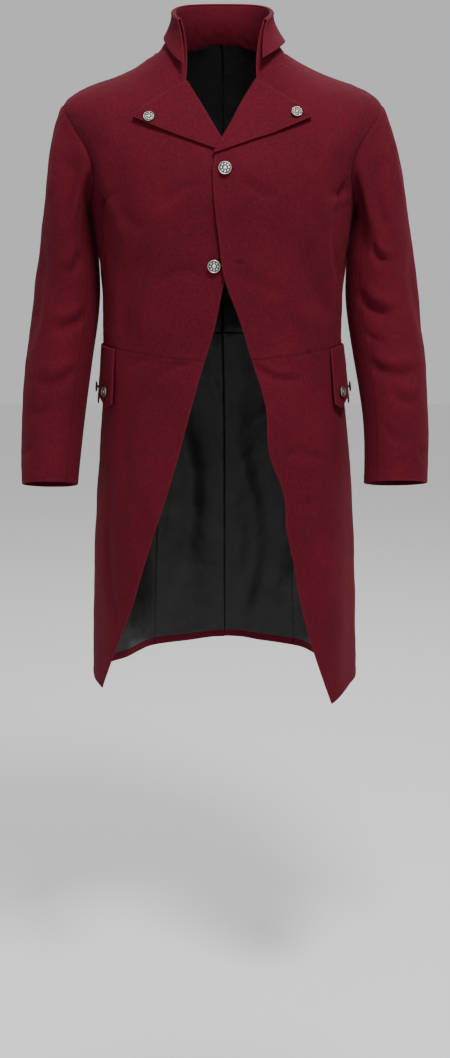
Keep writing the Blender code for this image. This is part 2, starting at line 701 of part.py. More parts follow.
def sleeve(side):
    """The sleeve's outer face as a function of the turn and of how far down it is, 0 to 2."""

    def surface(turn, down):
        seat, normal, inward = sleeve_seat(side, turn)
        rounding = (1 + np.cos(turn)) / 2
        bend = np.radians(SLEEVE_TOP_TURN + (SLEEVE_UNDER_TURN - SLEEVE_TOP_TURN) * rounding)[..., None]
        leave = inward * np.cos(bend) + normal * np.sin(bend)
        start = seat + inward * SEAM_GAP / 2
        end = sleeve_ring(side, turn, np.zeros(np.shape(turn)))
        below = sleeve_ring(side, turn, np.full(np.shape(turn), 0.02))
        arrive = unit(below - end)
        reach = (SLEEVE_HEAD_REACH + (SLEEVE_UNDERARM_REACH - SLEEVE_HEAD_REACH) * rounding)[..., None]
        long = (SLEEVE_ARM_REACH + (SLEEVE_UNDERARM_REACH - SLEEVE_ARM_REACH) * rounding)[..., None]
        share = np.clip(down, -1, 1)[..., None]
        rest = 1 - share
        head = (start * rest**3 + (start + leave * reach) * 3 * share * rest**2
                + (end - arrive * long) * 3 * share**2 * rest + end * share**3)
        arm = sleeve_ring(side, turn, np.clip(down - 1, 0, 2))
        place = np.where((down > 1)[..., None], arm, head)
        away = smooth(down * 4)
        clear = beside_body(place, side, SLEEVE_CLEARANCE)
        return place + (clear - place) * away[..., None]

    return surface


def make_sleeve(side, finish):
    """The two-piece sleeve: the upper sleeve over the top of the arm, the under sleeve inside it."""
    down = np.concatenate([np.linspace(0, 1, SLEEVE_HEAD_ROWS + 1) ** 1.3,
                           1 + np.linspace(0, 1, SLEEVE_ARM_ROWS + 1)[1:]])
    upper = np.concatenate([ARMHOLE_TURNS, 2 * math.pi - ARMHOLE_TURNS[-2::-1]])
    surface = sleeve(side)
    for part, turns in (("upper", upper), ("under", UNDERARM_TURNS)):
        turn, depth = np.meshgrid(turns, down)
        outer = surface(turn, depth)
        normal = normals_of(surface, turn, depth) * side
        inner = outer + normal * CLOTH
        gaps = (0, 0, SEAM_GAP / 2, SEAM_GAP / 2)
        name = f"sleeve_{side_name(side)}_{part}"
        cloth_wall(name, inset_edges(outer, gaps), inset_edges(inner, gaps), finish)


def flap_places(side):
    """The pocket flap's angles and levels, its foot cut to three points."""
    across = np.linspace(0, 1, FLAP_COLUMNS + 1)
    angle = np.radians(FLAP_FRONT_ANGLE + (FLAP_BACK_ANGLE - FLAP_FRONT_ANGLE) * across)
    point = 1 - np.abs(np.sin(math.pi * (across - 0.5) / FLAP_POINT_SPACING))
    drop = FLAP_DROP + FLAP_POINT * point
    if side < 0:
        angle = math.pi - angle
    seam_z = body(angle, np.full(angle.shape, float(WAIST)))[:, 2]
    down = np.linspace(0, 1, FLAP_ROWS + 1)[:, None]
    angle = np.broadcast_to(angle, (FLAP_ROWS + 1, len(across)))
    return angle, level_at(angle, seam_z - FLAP_TOP_GAP - drop * down)


def flap_height(down):
    """How far the flap's inner face stands off the skirt."""
    return LAYER_GAP + FLAP_STAND_OFF * np.asarray(down) ** 0.7


def make_flap(side, finish):
    angle, level = flap_places(side)
    down = np.linspace(0, 1, FLAP_ROWS + 1)[:, None] * np.ones(angle.shape)
    return body_panel(f"pocket_flap_{side_name(side)}", angle, level, flap_height(down) + FLAP_CLOTH,
                      finish, (0,) * 4, FLAP_CLOTH)


def button_mesh(diameter):
    """The profile of a shanked metal button: raised centre, sunk ring, rolled rim, shank."""
    r = diameter / 2
    profile = ((0, 0.0044), (0.34 * r, 0.0044), (0.42 * r, 0.0037), (0.74 * r, 0.0037), (0.84 * r, 0.0045),
               (r, 0.0036), (0.95 * r, 0.0020), (0.24 * r, 0.0016), (0.24 * r, 0), (0, 0))
    mesh = bpy.data.meshes.new("button_profile")
    mesh.from_pydata([(x, 0, z) for x, z in profile], [(i, i + 1) for i in range(len(profile) - 1)], [])
    return mesh


def make_button(name, place, normal, mesh, finish):
    """A button with its shank's foot at the place, turned to face along the normal."""
    made = placed(name, mesh, finish)
    made.location = Vector(place) + Vector(normal) * SEAM_GAP
    made.rotation_euler = Vector(normal).to_track_quat("Z", "Y").to_euler()
    turned = made.modifiers.new("Turned", "SCREW")
    turned.steps = BUTTON_SIDES
    turned.render_steps = BUTTON_SIDES
    turned.use_merge_vertices = True
    turned.merge_threshold = 1e-5
    return made


def on_body(angle, level, height):
    """A place above the body's surface and the normal there."""
    angle, level = np.atleast_1d(angle), np.atleast_1d(level)
    normal = normals_of(body, angle, level)[0]
    return body(angle, level)[0] + normal * float(np.ravel(height)[0]), normal


def make_buttons(finish):
    large, small = button_mesh(FRONT_BUTTON), button_mesh(SMALL_BUTTON)
    for name, (x, z) in FRONT_BUTTON_PLACES.items():
        angle, level = on_front(x, z)
        side = 1 if name == "button_front_top" else -1
        make_button(name, *on_body(angle, level, lift(side, angle, level)), large, finish)
    for side in (1, -1):
        angle, level = on_front(*LAPEL_BUTTON_PLACES[side])
        height = LAPEL_GAP + CLOTH + LAPEL_EDGE_RISE
        make_button(f"button_lapel_{side_name(side)}", *on_body(angle, level, height), small, finish)
        for i, across in enumerate((-FLAP_POINT_SPACING, 0, FLAP_POINT_SPACING), 1):
            share = 0.5 + across
            angle = math.radians(FLAP_FRONT_ANGLE + (FLAP_BACK_ANGLE - FLAP_FRONT_ANGLE) * share)
            angle = angle if side > 0 else math.pi - angle
            seam_z = body(np.array(angle), np.array(float(WAIST)))[2]
            level = level_at(np.array(angle), seam_z - FLAP_BUTTON_DROP)
            height = flap_height(FLAP_BUTTON_DROP / (FLAP_DROP + FLAP_POINT)) + FLAP_CLOTH
            name = f"button_flap_{side_name(side)}_{i}"
            make_button(name, *on_body(angle, level, height), small, finish)


for old in list(bpy.data.objects):
    bpy.data.objects.remove(old)
COAT = bpy.data.collections.new("Regency tailcoat")
bpy.context.scene.collection.children.link(COAT)
wool = material("burgundy cloth", WOOL_COLOUR, 0.85, 0.0)
black = material("black lining", LINING_COLOUR, 0.55, 0.0)
metal = material("antiqued metal", METAL_COLOUR, 0.35, 0.9)
for one_side in (1, -1):
    make_front(one_side, wool)
    make_side(one_side, wool)
    make_back(one_side, wool)
    make_skirt(one_side, wool)
    make_lapel(one_side, wool)
    make_sleeve(one_side, wool)
    make_flap(one_side, wool)
    make_lining(one_side, black)
make_stand(wool)
make_fall(wool)
make_buttons(metal)
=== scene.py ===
# A Regency tailcoat in burgundy twill, hollow and in its worn shape, with a black lining and metal buttons.
# Metres, Z up. The coat faces -Y, so its own left is +X. Every piece is sewn here as a closed wall of cloth
# on the form of the frame's solid with the same name.

import math

import bpy
import numpy as np
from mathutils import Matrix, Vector


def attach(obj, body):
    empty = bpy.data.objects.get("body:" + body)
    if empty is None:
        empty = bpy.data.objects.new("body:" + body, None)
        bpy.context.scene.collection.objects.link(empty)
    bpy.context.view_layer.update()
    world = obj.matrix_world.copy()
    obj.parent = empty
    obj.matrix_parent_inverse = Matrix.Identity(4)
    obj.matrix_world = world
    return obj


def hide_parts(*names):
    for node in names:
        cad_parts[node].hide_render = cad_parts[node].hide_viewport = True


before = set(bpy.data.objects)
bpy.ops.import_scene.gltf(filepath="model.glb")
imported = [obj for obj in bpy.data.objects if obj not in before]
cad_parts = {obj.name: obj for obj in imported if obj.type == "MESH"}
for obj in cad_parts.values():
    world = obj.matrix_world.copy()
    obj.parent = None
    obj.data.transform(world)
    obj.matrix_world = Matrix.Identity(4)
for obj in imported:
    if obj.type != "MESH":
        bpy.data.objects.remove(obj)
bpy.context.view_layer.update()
print("frame loaded with", len(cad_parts), "solids")

cloth = {"thick": 0.0018, "layerGap": 0.0008, "stitchIn": 0.0050, "mostPinch": 1.7, "swellFrom": 0.0008}
layerStep = cloth["thick"] + cloth["layerGap"]
edgeSteps = np.array([0, 0.0002, 0.0006, 0.0012, 0.0020, 0.0034, 0.0050, 0.0072, 0.0100])
stitchStep = 6  # the place of stitchIn among edgeSteps
mostEdge = 0.42  # the most that the small steps by one edge take up of a short length
# A free edge: the turned allowance lifts the cloth, its stitches press it down and its fold is rubbed
turning = {"rise": 0.00024, "start": 0.0022, "end": 0.0095, "fade": 0.0025, "dip": 0.00022,
           "dipHalf": 0.0008, "rubbedHalf": 0.0020}
# A seam: the groove, the share of it under the outer face, the pressed allowances, the half width of the
# painted shade along it and the puckers beside it
seaming = {"groove": 0.0011, "rim": 0.7, "rise": 0.00020, "riseAt": 0.0045, "riseHalf": 0.0022,
           "seamShadeHalf": 0.0014, "puckerAt": 0.012, "puckerHalf": 0.012, "puckerFrom": 0.006}


def spline(knots, values):
    # natural cubic spline: each piece is the straight line plus a cubic that keeps the bend continuous
    knots, values = np.asarray(knots, float), np.asarray(values, float)
    count, step = len(knots), np.diff(knots)
    matrix, right = np.eye(count), np.zeros(count)
    for i in range(1, count - 1):
        matrix[i, i - 1:i + 2] = step[i - 1], 2 * (step[i - 1] + step[i]), step[i]
        slopes = np.diff(values[i - 1:i + 2]) / step[i - 1:i + 1]
        right[i] = 6 * (slopes[1] - slopes[0])
    bend = np.linalg.solve(matrix, right)

    def value(at):
        i = np.clip(np.searchsorted(knots, at) - 1, 0, count - 2)
        a = (knots[i + 1] - at) / step[i]
        b = 1 - a
        curve = ((a**3 - a) * bend[i] + (b**3 - b) * bend[i + 1]) * step[i]**2 / 6
        return a * values[i] + b * values[i + 1] + curve

    return value


def ease(x):
    # 0 below 0, 1 above 1, and 3x^2 - 2x^3 between
    x = np.clip(x, 0, 1)
    return x * x * (3 - 2 * x)


def hump(x, width):
    # bell of height 1: e to the minus (x / width) squared
    return np.exp(-((x / width) ** 2))


def unit(vectors):
    return vectors / np.linalg.norm(vectors, axis=-1, keepdims=True)


def normalsOf(surface, u, v, tiny=1e-4):
    # cross product of the small steps along u and along v
    along = surface(u + tiny, v) - surface(u - tiny, v)
    up = surface(u, v + tiny) - surface(u, v - tiny)
    return unit(np.cross(along, up))


# The body of the coat is an angle round it (0 at the coat's left, -90 degrees in front) and a level:
# 0 is the hem, 4 the waist seam, 6 the underarm, 8 the shoulder point and 10 the neck seam.
hemLevel, waistLevel, shoulderLevel, neckLevel = 0, 4, 8, 10
bodyRings = {
    "sideZ": (-.961, -.800, -.640, -.530, -.436, -.330, -.236, -.150, -.078, -.037, -.002),
    "frontZ": (-1.020, -.800, -.640, -.535, -.453, -.340, -.246, -.180, -.120, -.091, -.078),
    "backZ": (-.950, -.800, -.640, -.525, -.425, -.322, -.235, -.150, -.075, -.022, .016),
    "halfWidth": (.206, .203, .196, .187, .183, .186, .200, .221, .238, .160, .094),
    "frontDepth": (.150, .150, .147, .143, .136, .143, .150, .149, .132, .116, .105),
    "backDepth": (.222, .203, .172, .146, .119, .124, .135, .138, .126, .106, .082),
    "squareness": (.020, .020, .025, .030, .040, .050, .060, .060, .050, .030, .020),
    "sway": (.003, .003, .003, .002, 0, 0, 0, 0, 0, 0, -.002),
}
ringLevels = np.arange(11)
bodyShape = {name: spline(ringLevels, values) for name, values in bodyRings.items()}
# Soft folds of the skirts: angle and half width in degrees, depth at the hem, level where they start
skirtFolds = ((-44, 13, .005, 3), (-18, 10, -.004, 3), (14, 13, .005, 3), (38, 8, -.007, 3.6),
              (54, 7, .008, 3.8), (74, 7, -.006, 3.7), (106, 7, -.006, 3.7), (124, 7, .008, 3.8),
              (143, 8, -.007, 3.5), (168, 12, .005, 3), (202, 12, -.003, 3))


def ringPoint(angle, ring):
    # an ellipse with its own front and back depths, a squared-off swell, and a height that rises and falls
    c, s = np.cos(angle), np.sin(angle)
    swell = 1 + ring["squareness"] * np.sin(2 * angle) ** 2
    middle = (ring["frontDepth"] + ring["backDepth"]) / 2
    shift = (ring["backDepth"] - ring["frontDepth"]) / 2
    level = (ring["frontZ"] + ring["backZ"]) / 2 - ring["sideZ"]
    slope = (ring["backZ"] - ring["frontZ"]) / 2
    even = ring.get("evenness", 0)
    x = ring["halfWidth"] * c * swell + ring["sway"]
    y = (middle * s + shift * s**2) * swell
    z = ring["sideZ"] + level * s**2 + slope * (s * even + s**3 * (1 - even))
    return np.stack(np.broadcast_arrays(x, y, z), axis=-1)


def body(angle, level):
    # the ring at that level, moved outwards by the sum of the folds' bells
    point = ringPoint(angle, {name: value(level) for name, value in bodyShape.items()})
    turned = (np.degrees(angle) + 90) % 360 - 90
    out = 0
    for at, halfWidth, depth, top in skirtFolds:
        out = out + depth * ease((top - level) / top) * hump(turned - at, halfWidth)
    return point + unit(point * (1, 1, 0)) * np.asarray(out)[..., None]


def onFront(x, z):
    # the angle and level seen at x, z from the front, by Newton steps
    x, z = np.broadcast_arrays(np.asarray(x, float), np.asarray(z, float))
    angle = -np.arccos(np.clip(x / 0.2, -0.97, 0.97))
    level = np.interp(z, bodyRings["frontZ"], ringLevels)
    tiny = 1e-5
    for _ in range(30):
        here = body(angle, level)
        byAngle = (body(angle + tiny, level) - here) / tiny
        byLevel = (body(angle, level + tiny) - here) / tiny
        missX, missZ = x - here[..., 0], z - here[..., 2]
        size = byAngle[..., 0] * byLevel[..., 2] - byLevel[..., 0] * byAngle[..., 2]
        angle = angle + np.clip((missX * byLevel[..., 2] - missZ * byLevel[..., 0]) / size, -0.2, 0.2)
        level = level + np.clip((missZ * byAngle[..., 0] - missX * byAngle[..., 2]) / size, -0.5, 0.5)
    return angle, level


def levelAt(angle, z):
    # the level of the body at that angle and height, by Newton steps
    level = np.full(np.broadcast(angle, z).shape, float(waistLevel))
    for _ in range(20):
        here = body(angle, level)[..., 2]
        slope = (body(angle, level + 1e-4)[..., 2] - here) / 1e-4
        level = level + np.clip((z - here) / slope, -0.5, 0.5)
    return level


# Where the left side lies over the right one. The front is lifted fully up to x "fullTo", and twice from z
# "lapelFrom" up; the tail is lifted from an angle in degrees on, in the levels under the waist.
overlap = {"fullTo": .035, "xFade": .045, "lapelFrom": -.205, "zFade": .030, "tailFrom": 70, "tailFade": 14,
           "levelFade": .34}


def lift(side, angle, level):
    # the left front stands out by one layer over the right front, and by two over its lapel
    place = body(angle, level)
    near = 1 - ease((place[..., 0] - overlap["fullTo"]) / overlap["xFade"])
    layers = 1 + ease((place[..., 2] - overlap["lapelFrom"]) / overlap["zFade"])
    return np.where((place[..., 1] < 0) & (side > 0), near * layers * layerStep, 0)


def ventLift(side, angle, level):
    # the left tail stands out by one layer where it lies over the right one
    near = ease((angle - math.radians(overlap["tailFrom"])) / math.radians(overlap["tailFade"]))
    return near * layerStep * ease((waistLevel - level) / overlap["levelFade"]) * (side > 0)


hole = {"level": 7, "halfAngle": math.radians(33), "fade": 0.22}


def armhole(turn):
    # an ellipse in angle and level: 0 at the underarm, 180 degrees at the top, front positive
    turn = np.asarray(turn, float)
    return np.stack([-hole["halfAngle"] * np.sin(turn), hole["level"] - np.cos(turn)], axis=-1)


# Creases on the body as they are seen from the front: x and z of both ends, half width, outward depth
frontCreases = (
    (.205, -.150, .172, -.262, .0070, -.0024), (.156, -.212, .192, -.197, .0080, -.0013),
    (.154, -.226, .188, -.213, .0085, .0010), (.124, -.290, .164, -.392, .0170, -.0030),
    (.098, -.300, .128, -.408, .0150, .0020), (.050, -.462, .114, -.484, .0050, -.0016),
    (.060, -.457, .104, -.470, .0040, .0012), (.030, -.190, .082, -.216, .0070, -.0010),
    (.026, -.322, .092, -.352, .0100, -.0013), (.126, -.440, .148, -.458, .0045, -.0012),
    (.093, -.594, .112, -.586, .0060, -.0013), (.112, -.586, .142, -.596, .0060, -.0014),
    (.142, -.596, .154, -.605, .0055, -.0010), (.100, -.606, .146, -.612, .0085, .0011),
    (.118, -.670, .140, -.661, .0055, -.0014), (.110, -.727, .130, -.722, .0050, -.0013),
    (.070, -.520, .094, -.560, .0080, .0012), (.150, -.700, .128, -.860, .0160, -.0022),
    (-.203, -.130, -.181, -.226, .0065, -.0026), (-.178, -.150, -.160, -.236, .0120, .0022),
    (-.186, -.222, -.150, -.204, .0065, -.0016), (-.150, -.236, -.112, -.262, .0130, -.0016),
    (-.030, -.196, -.086, -.226, .0080, -.0011), (-.034, -.322, -.098, -.342, .0090, -.0014),
    (-.120, -.300, -.150, -.420, .0160, -.0024), (-.094, -.330, -.118, -.425, .0120, .0016),
    (-.048, -.458, -.090, -.476, .0050, -.0013), (-.108, -.452, -.140, -.470, .0050, -.0012),
    (-.150, -.540, -.120, -.690, .0170, -.0020), (-.110, -.600, -.128, -.800, .0150, .0018),
    (-.168, -.640, -.160, -.860, .0130, -.0022), (.170, -.120, .148, -.250, .0150, .0024),
    (-.160, -.120, -.150, -.270, .0150, .0024), (.176, -.205, .172, -.330, .0100, -.0024),
    (-.176, -.205, -.176, -.330, .0100, -.0022), (-.096, -.500, -.150, -.560, .0160, -.0020),
    (.060, -.250, .120, -.330, .0240, -.0010), (-.070, -.250, -.120, -.340, .0240, -.0010),
)
# The same round the sides and the back, with an angle in degrees in place of x
roundCreases = (
    (78, -.150, 52, -.238, .0150, .0022), (68, -.140, 44, -.200, .0080, -.0024),
    (106, -.160, 126, -.246, .0150, .0020), (114, -.148, 136, -.206, .0085, -.0022),
    (84, -.250, 62, -.330, .0140, -.0018), (96, -.262, 120, -.345, .0130, -.0020),
    (64, -.398, 84, -.406, .0050, -.0018), (70, -.414, 87, -.418, .0045, -.0014),
    (95, -.400, 118, -.392, .0055, -.0018), (93, -.416, 110, -.412, .0045, -.0013),
    (38, -.300, 30, -.400, .0110, -.0018), (146, -.290, 152, -.404, .0110, -.0020),
    (12, -.262, -14, -.330, .0090, -.0020), (6, -.290, -18, -.372, .0080, .0012),
    (168, -.258, 196, -.335, .0085, -.0021), (20, -.470, 34, -.560, .0120, -.0016),
    (160, -.472, 148, -.570, .0110, -.0015), (46, -.600, 42, -.860, .0160, .0020),
    (66, -.560, 62, -.900, .0140, -.0022), (112, -.570, 118, -.880, .0150, -.0020),
    (84, -.620, 80, -.900, .0120, .0016), (134, -.640, 138, -.900, .0150, .0018),
)
unrolled = 0.19  # metres of cloth round the body for each radian
crease = {"gain": 2.0, "bend": 0.10, "fadeFrom": 0.18, "fade": 0.40}  # a crease is never quite straight


def creaseEnds():
    # both tables as rows of angle, z, angle, z, half width, depth
    rows = []
    for x1, z1, x2, z2, width, depth in frontCreases:
        angle, _ = onFront(np.array([x1, x2]), np.array([z1, z2]))
        rows.append((angle[0], z1, angle[1], z2, width, depth))
    for a1, z1, a2, z2, width, depth in roundCreases:
        rows.append((math.radians(a1), z1, math.radians(a2), z2, width, depth))
    return rows


def creaseSum(across, z, rows, scale):
    # each crease is a bell across a slightly bowed line, fading in and out round both ends
    total = 0
    for a1, z1, a2, z2, width, depth in rows:
        dx, dz = (a2 - a1) * scale, z2 - z1
        px, pz = (across - a1) * scale, z - z1
        size = math.hypot(dx, dz)
        share = (px * dx + pz * dz) / size**2
        aside = (px * dz - pz * dx) / size
        bend = crease["bend"] * size * np.sin(math.pi * np.clip(share, 0, 1))
        fade = ease((share + crease["fadeFrom"]) / crease["fade"]) \
            * ease((1 + crease["fadeFrom"] - share) / crease["fade"])
        total = total + depth * hump(aside - bend, width) * fade
    return total


waves = {"slow": 0.0009, "quick": 0.00022, "pucker": 0.00042, "finePucker": 0.00030}  # heights


def unevenness(point):
    # slow and quick waves of place: products of sines along crooked lines
    x, y, z = np.moveaxis(point, -1, 0)
    slow = np.sin(41 * x + 23 * z + 1.3 * np.sin(17 * z + 5 * x)) * np.sin(29 * y - 31 * z + 0.7)
    quick = np.sin(133 * x - 71 * z + 2 * np.sin(37 * z)) * np.sin(97 * y + 118 * z + 1.9)
    return waves["slow"] * slow + waves["quick"] * quick


def puckers(point):
    # short waves drawn up along a seam
    x, y, z = np.moveaxis(point, -1, 0)
    return waves["pucker"] * np.sin(310 * x + 40 * np.sin(9 * z)) * np.sin(250 * y + 180 * z + 2.2) \
        + waves["finePucker"] * np.sin(205 * x + 120 * y + 1.1) * np.sin(160 * z + 3 * np.sin(70 * x))


bodyCreases = creaseEnds()


def bodyRelief(angle, level, point):
    # creases and unevenness, fading to nothing at the armhole, where the sleeve is sewn
    turned = (angle + math.pi / 2) % (2 * math.pi) - math.pi / 2
    total = unevenness(point)
    for wrap in (0, 2 * math.pi):
        total = total + crease["gain"] * creaseSum(turned - wrap, point[..., 2], bodyCreases, unrolled)
    beside = np.where(point[..., 0] < 0, math.pi - turned, turned)
    beside = (beside + math.pi) % (2 * math.pi) - math.pi
    ring = np.hypot(beside / hole["halfAngle"], level - hole["level"])
    return total * ease((ring - 1) / hole["fade"])


def spacing(length, middle, start=True, end=True):
    # shares of a length: small fixed steps by its ends, even ones between
    length = np.asarray(length, float)[..., None]
    near = edgeSteps * np.minimum(1, mostEdge * length / edgeSteps[-1])
    zero = near[..., :1] * 0
    head = near if start else zero
    tail = near[..., ::-1] if end else zero
    inner = head[..., -1:] + (length - head[..., -1:] - tail[..., :1]) * np.linspace(0, 1, middle + 1)[1:-1]
    return np.concatenate([head, inner, length - tail], axis=-1) / length


def withKeys(rows, keys):
    # moves the nearest row onto each corner of the cut
    rows = rows.copy()
    for key in keys:
        rows[np.argmin(np.abs(rows - key))] = key
    return rows


def edgeDistances(grid):
    # lengths along the grid from its first row, last row, first column and last column
    down = np.linalg.norm(np.diff(grid, axis=0), axis=-1).cumsum(axis=0)
    across = np.linalg.norm(np.diff(grid, axis=1), axis=-1).cumsum(axis=1)
    down = np.concatenate([down[:1] * 0, down])
    across = np.concatenate([across[:, :1] * 0, across], axis=1)
    return down, down[-1:] - down, across, across[:, -1:] - across


def inFrom(distances, reach):
    # 0 on every edge and 1 further in than the reach, so that the rims of two pieces stay together
    return np.prod([ease(distance / reach) for distance in distances], axis=0)


def edgeForm(distance, seamShare, half):
    # how far the outer and inner faces close in near an edge, and how the outer face swells: a free edge is
    # half round over a turned allowance, a seam is a fine groove whose rim lies close to the outer face
    inside = np.clip(1 - distance / half, 0, 1)
    free = half * (1 - np.sqrt(1 - inside**2))
    groove = half * hump(distance, seaming["groove"])
    outer = free + (groove * (1 - seaming["rim"]) - free) * seamShare
    inner = free + (groove * (1 + seaming["rim"]) - free) * seamShare
    over = ease(distance / turning["start"]) * (1 - ease((distance - turning["end"]) / turning["fade"]))
    turned = turning["rise"] * over - turning["dip"] * hump(distance - cloth["stitchIn"], turning["dipHalf"])
    pressed = seaming["rise"] * hump(distance - seaming["riseAt"], seaming["riseHalf"])
    return outer, inner, turned + (pressed - turned) * seamShare


def quadsOf(index):
    # the four corners of each cell of a grid of point numbers
    corners = (index[:-1, :-1], index[:-1, 1:], index[1:, 1:], index[1:, :-1])
    return np.stack(corners, axis=-1).reshape(-1, 4)


def makeMesh(name, node, points, faces, coordinates, facts, finishes, faceFinish=None):
    # one mesh with its map in metres, its facts for each point and its finish for each face
    mesh = bpy.data.meshes.new(name)
    mesh.from_pydata(points.reshape(-1, 3).tolist(), [], faces)
    corner = np.zeros(len(mesh.loops), np.int32)
    mesh.loops.foreach_get("vertex_index", corner)
    layer = mesh.uv_layers.new(name="clothMap")
    layer.uv.foreach_set("vector", coordinates.reshape(-1, 2)[corner].astype(np.float32).ravel())
    for fact, values in facts.items():
        attribute = mesh.attributes.new(fact, "FLOAT", "POINT")
        attribute.data.foreach_set("value", values.astype(np.float32).ravel())
    for finish in finishes:
        mesh.materials.append(finish)
    if faceFinish is not None:
        mesh.polygons.foreach_set("material_index", faceFinish.astype(np.int32).ravel())
    mesh.shade_smooth()
    mesh.update()
    made = bpy.data.objects.new(name, mesh)
    bpy.context.scene.collection.objects.link(made)
    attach(made, "root")
    if node:
        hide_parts(node)
    return made


flatSizes = {}


def clothWall(node, middle, outward, seams, coordinates, finishes,
              thick=cloth["thick"], lined=None):
    # A closed wall: the outer face is the middle plus half the thickness outwards, the inner face is the
    # middle less it, and both share the points of the rim. Seams gives each edge's share of seam, 0 to 1,
    # as first row, last row, first column, last column.
    rows, cols = middle.shape[:2]
    half = thick / 2
    distances = edgeDistances(middle)
    outerPinch, innerPinch, swell, wear, seam = 0, 0, 0, 0, 0
    within = inFrom(distances, seaming["puckerFrom"])
    for distance, share in zip(distances, seams):
        share = np.asarray(share, float)
        share = share[:, None] if share.ndim == 1 else share
        edgeOuter, edgeInner, edgeSwell = edgeForm(distance, share, half)
        outerPinch, innerPinch = np.maximum(outerPinch, edgeOuter), np.maximum(innerPinch, edgeInner)
        swell = swell + edgeSwell
        wear = np.maximum(wear, hump(distance, turning["rubbedHalf"]) * (1 - share))
        # how near each point lies to a seam, where the cloth is darkened with painted shade
        seam = np.maximum(seam, hump(distance, seaming["seamShadeHalf"]) * share)
        drawn = hump(distance - seaming["puckerAt"], seaming["puckerHalf"])
        middle = middle + outward * (puckers(middle) * drawn * within * share)[..., None]
    swell = swell * inFrom(distances, cloth["swellFrom"])
    outer = middle + outward * (half - outerPinch + swell)[..., None]
    inner = middle - outward * (half - np.minimum(innerPinch, half * cloth["mostPinch"]))[..., None]
    top = np.arange(rows * cols).reshape(rows, cols)
    under = top.copy()
    under[1:-1, 1:-1] = rows * cols + np.arange((rows - 2) * (cols - 2)).reshape(rows - 2, cols - 2)
    points = np.concatenate([outer.reshape(-1, 3), inner[1:-1, 1:-1].reshape(-1, 3)])
    facing = np.cross(outer[:-1, 1:] - outer[:-1, :-1], outer[1:, :-1] - outer[:-1, :-1])
    outwards = (facing * outward[:-1, :-1]).sum() > 0
    topWay, underWay = (1, -1) if outwards else (-1, 1)
    faces = np.concatenate([quadsOf(top)[:, ::topWay], quadsOf(under)[:, ::underWay]])

    def keep(values):
        # the values of the outer points, then those of the inner ones
        parts = values.size // (rows * cols)
        return np.concatenate([values.reshape(-1, parts), values[1:-1, 1:-1].reshape(-1, parts)])

    which = np.zeros(len(faces))
    if lined is not None:
        which[len(faces) // 2:] = np.broadcast_to(lined, (rows, cols))[:-1, :-1].ravel()
    facts = {"wear": keep(wear), "seam": keep(seam)}
    piece = makeMesh("cloth_" + node, node, points, faces.tolist(), keep(coordinates), facts,
                     finishes, which)
    width = float((distances[2] + distances[3])[:, 0].max())
    length = float((distances[0] + distances[1])[0].max())
    along = np.diff(middle, axis=0)[:, :-1]
    across = np.diff(middle, axis=1)[:-1]
    area = float(np.linalg.norm(np.cross(along, across), axis=-1).sum())
    flatSizes[node] = (width, length, area)
    return outer, outward


class Wire:
    # A socket of a material. Arithmetic on it adds Math nodes, and node() adds any other node: its type,
    # its settings, which are set first, then the values or links of its sockets, by name or number.
    def __init__(self, tree, socket=None):
        self.tree, self.socket = tree, socket

    def node(self, kind, settings=None, sockets=None, output=0):
        made = self.tree.nodes.new(kind)
        for name, value in (settings or {}).items():
            setattr(made, name, value)
        for name, value in (sockets or {}).items():
            if isinstance(value, Wire):
                self.tree.links.new(value.socket, made.inputs[name])
            else:
                made.inputs[name].default_value = value
        return Wire(self.tree, made.outputs[output]) if len(made.outputs) else made

    def maths(self, operation, *values, clamp=False):
        settings = {"operation": operation, "use_clamp": clamp}
        return self.node("ShaderNodeMath", settings, dict(enumerate(values)))

    def __add__(self, other):
        return self.maths("ADD", self, other)

    def __radd__(self, other):
        return self.maths("ADD", other, self)

    def __sub__(self, other):
        return self.maths("SUBTRACT", self, other)

    def __rsub__(self, other):
        return self.maths("SUBTRACT", other, self)

    def __mul__(self, other):
        return self.maths("MULTIPLY", self, other)

    def __rmul__(self, other):
        return self.maths("MULTIPLY", other, self)

    def sine(self):
        return self.maths("SINE", self)

    def within(self):
        return self.maths("ADD", self, 0, clamp=True)

    def fact(self, name):
        return self.node("ShaderNodeAttribute", {"attribute_name": name}, output=2)

    def noise(self, place, scale, detail=3, roughness=0.5):
        return self.node("ShaderNodeTexNoise", {"noise_dimensions": "3D"},
                         {"Vector": place, "Scale": scale, "Detail": detail, "Roughness": roughness})

    def mixed(self, share, first, second):
        return self.node("ShaderNodeMix", {"data_type": "RGBA"}, {0: share, 6: first, 7: second}, output=2)

    def bump(self, height, distance, strength=1.0, under=None):
        sockets = {"Height": height, "Distance": distance, "Strength": strength}
        if under is not None:
            sockets["Normal"] = under
        return self.node("ShaderNodeBump", {}, sockets)

    def place(self):
        return self.node("ShaderNodeTexCoord", output=3)

    def mapped(self):
        # across and along the piece's own map, in metres
        flat = self.node("ShaderNodeUVMap", {"uv_map": "clothMap"})
        across = self.node("ShaderNodeSeparateXYZ", {}, {0: flat})
        return across, Wire(self.tree, across.socket.node.outputs[1])

    def drawnOut(self, scale):
        # the object's coordinates, squeezed or stretched
        return self.node("ShaderNodeMapping", {}, {"Vector": self.place(), "Scale": scale})

    def surface(self, sockets):
        shader = self.node("ShaderNodeBsdfPrincipled", {}, sockets)
        self.node("ShaderNodeOutputMaterial", {}, {"Surface": shader})


def newFinish(name):
    finish = bpy.data.materials.new(name)
    finish.use_nodes = True
    finish.node_tree.nodes.clear()
    return finish, Wire(finish.node_tree)


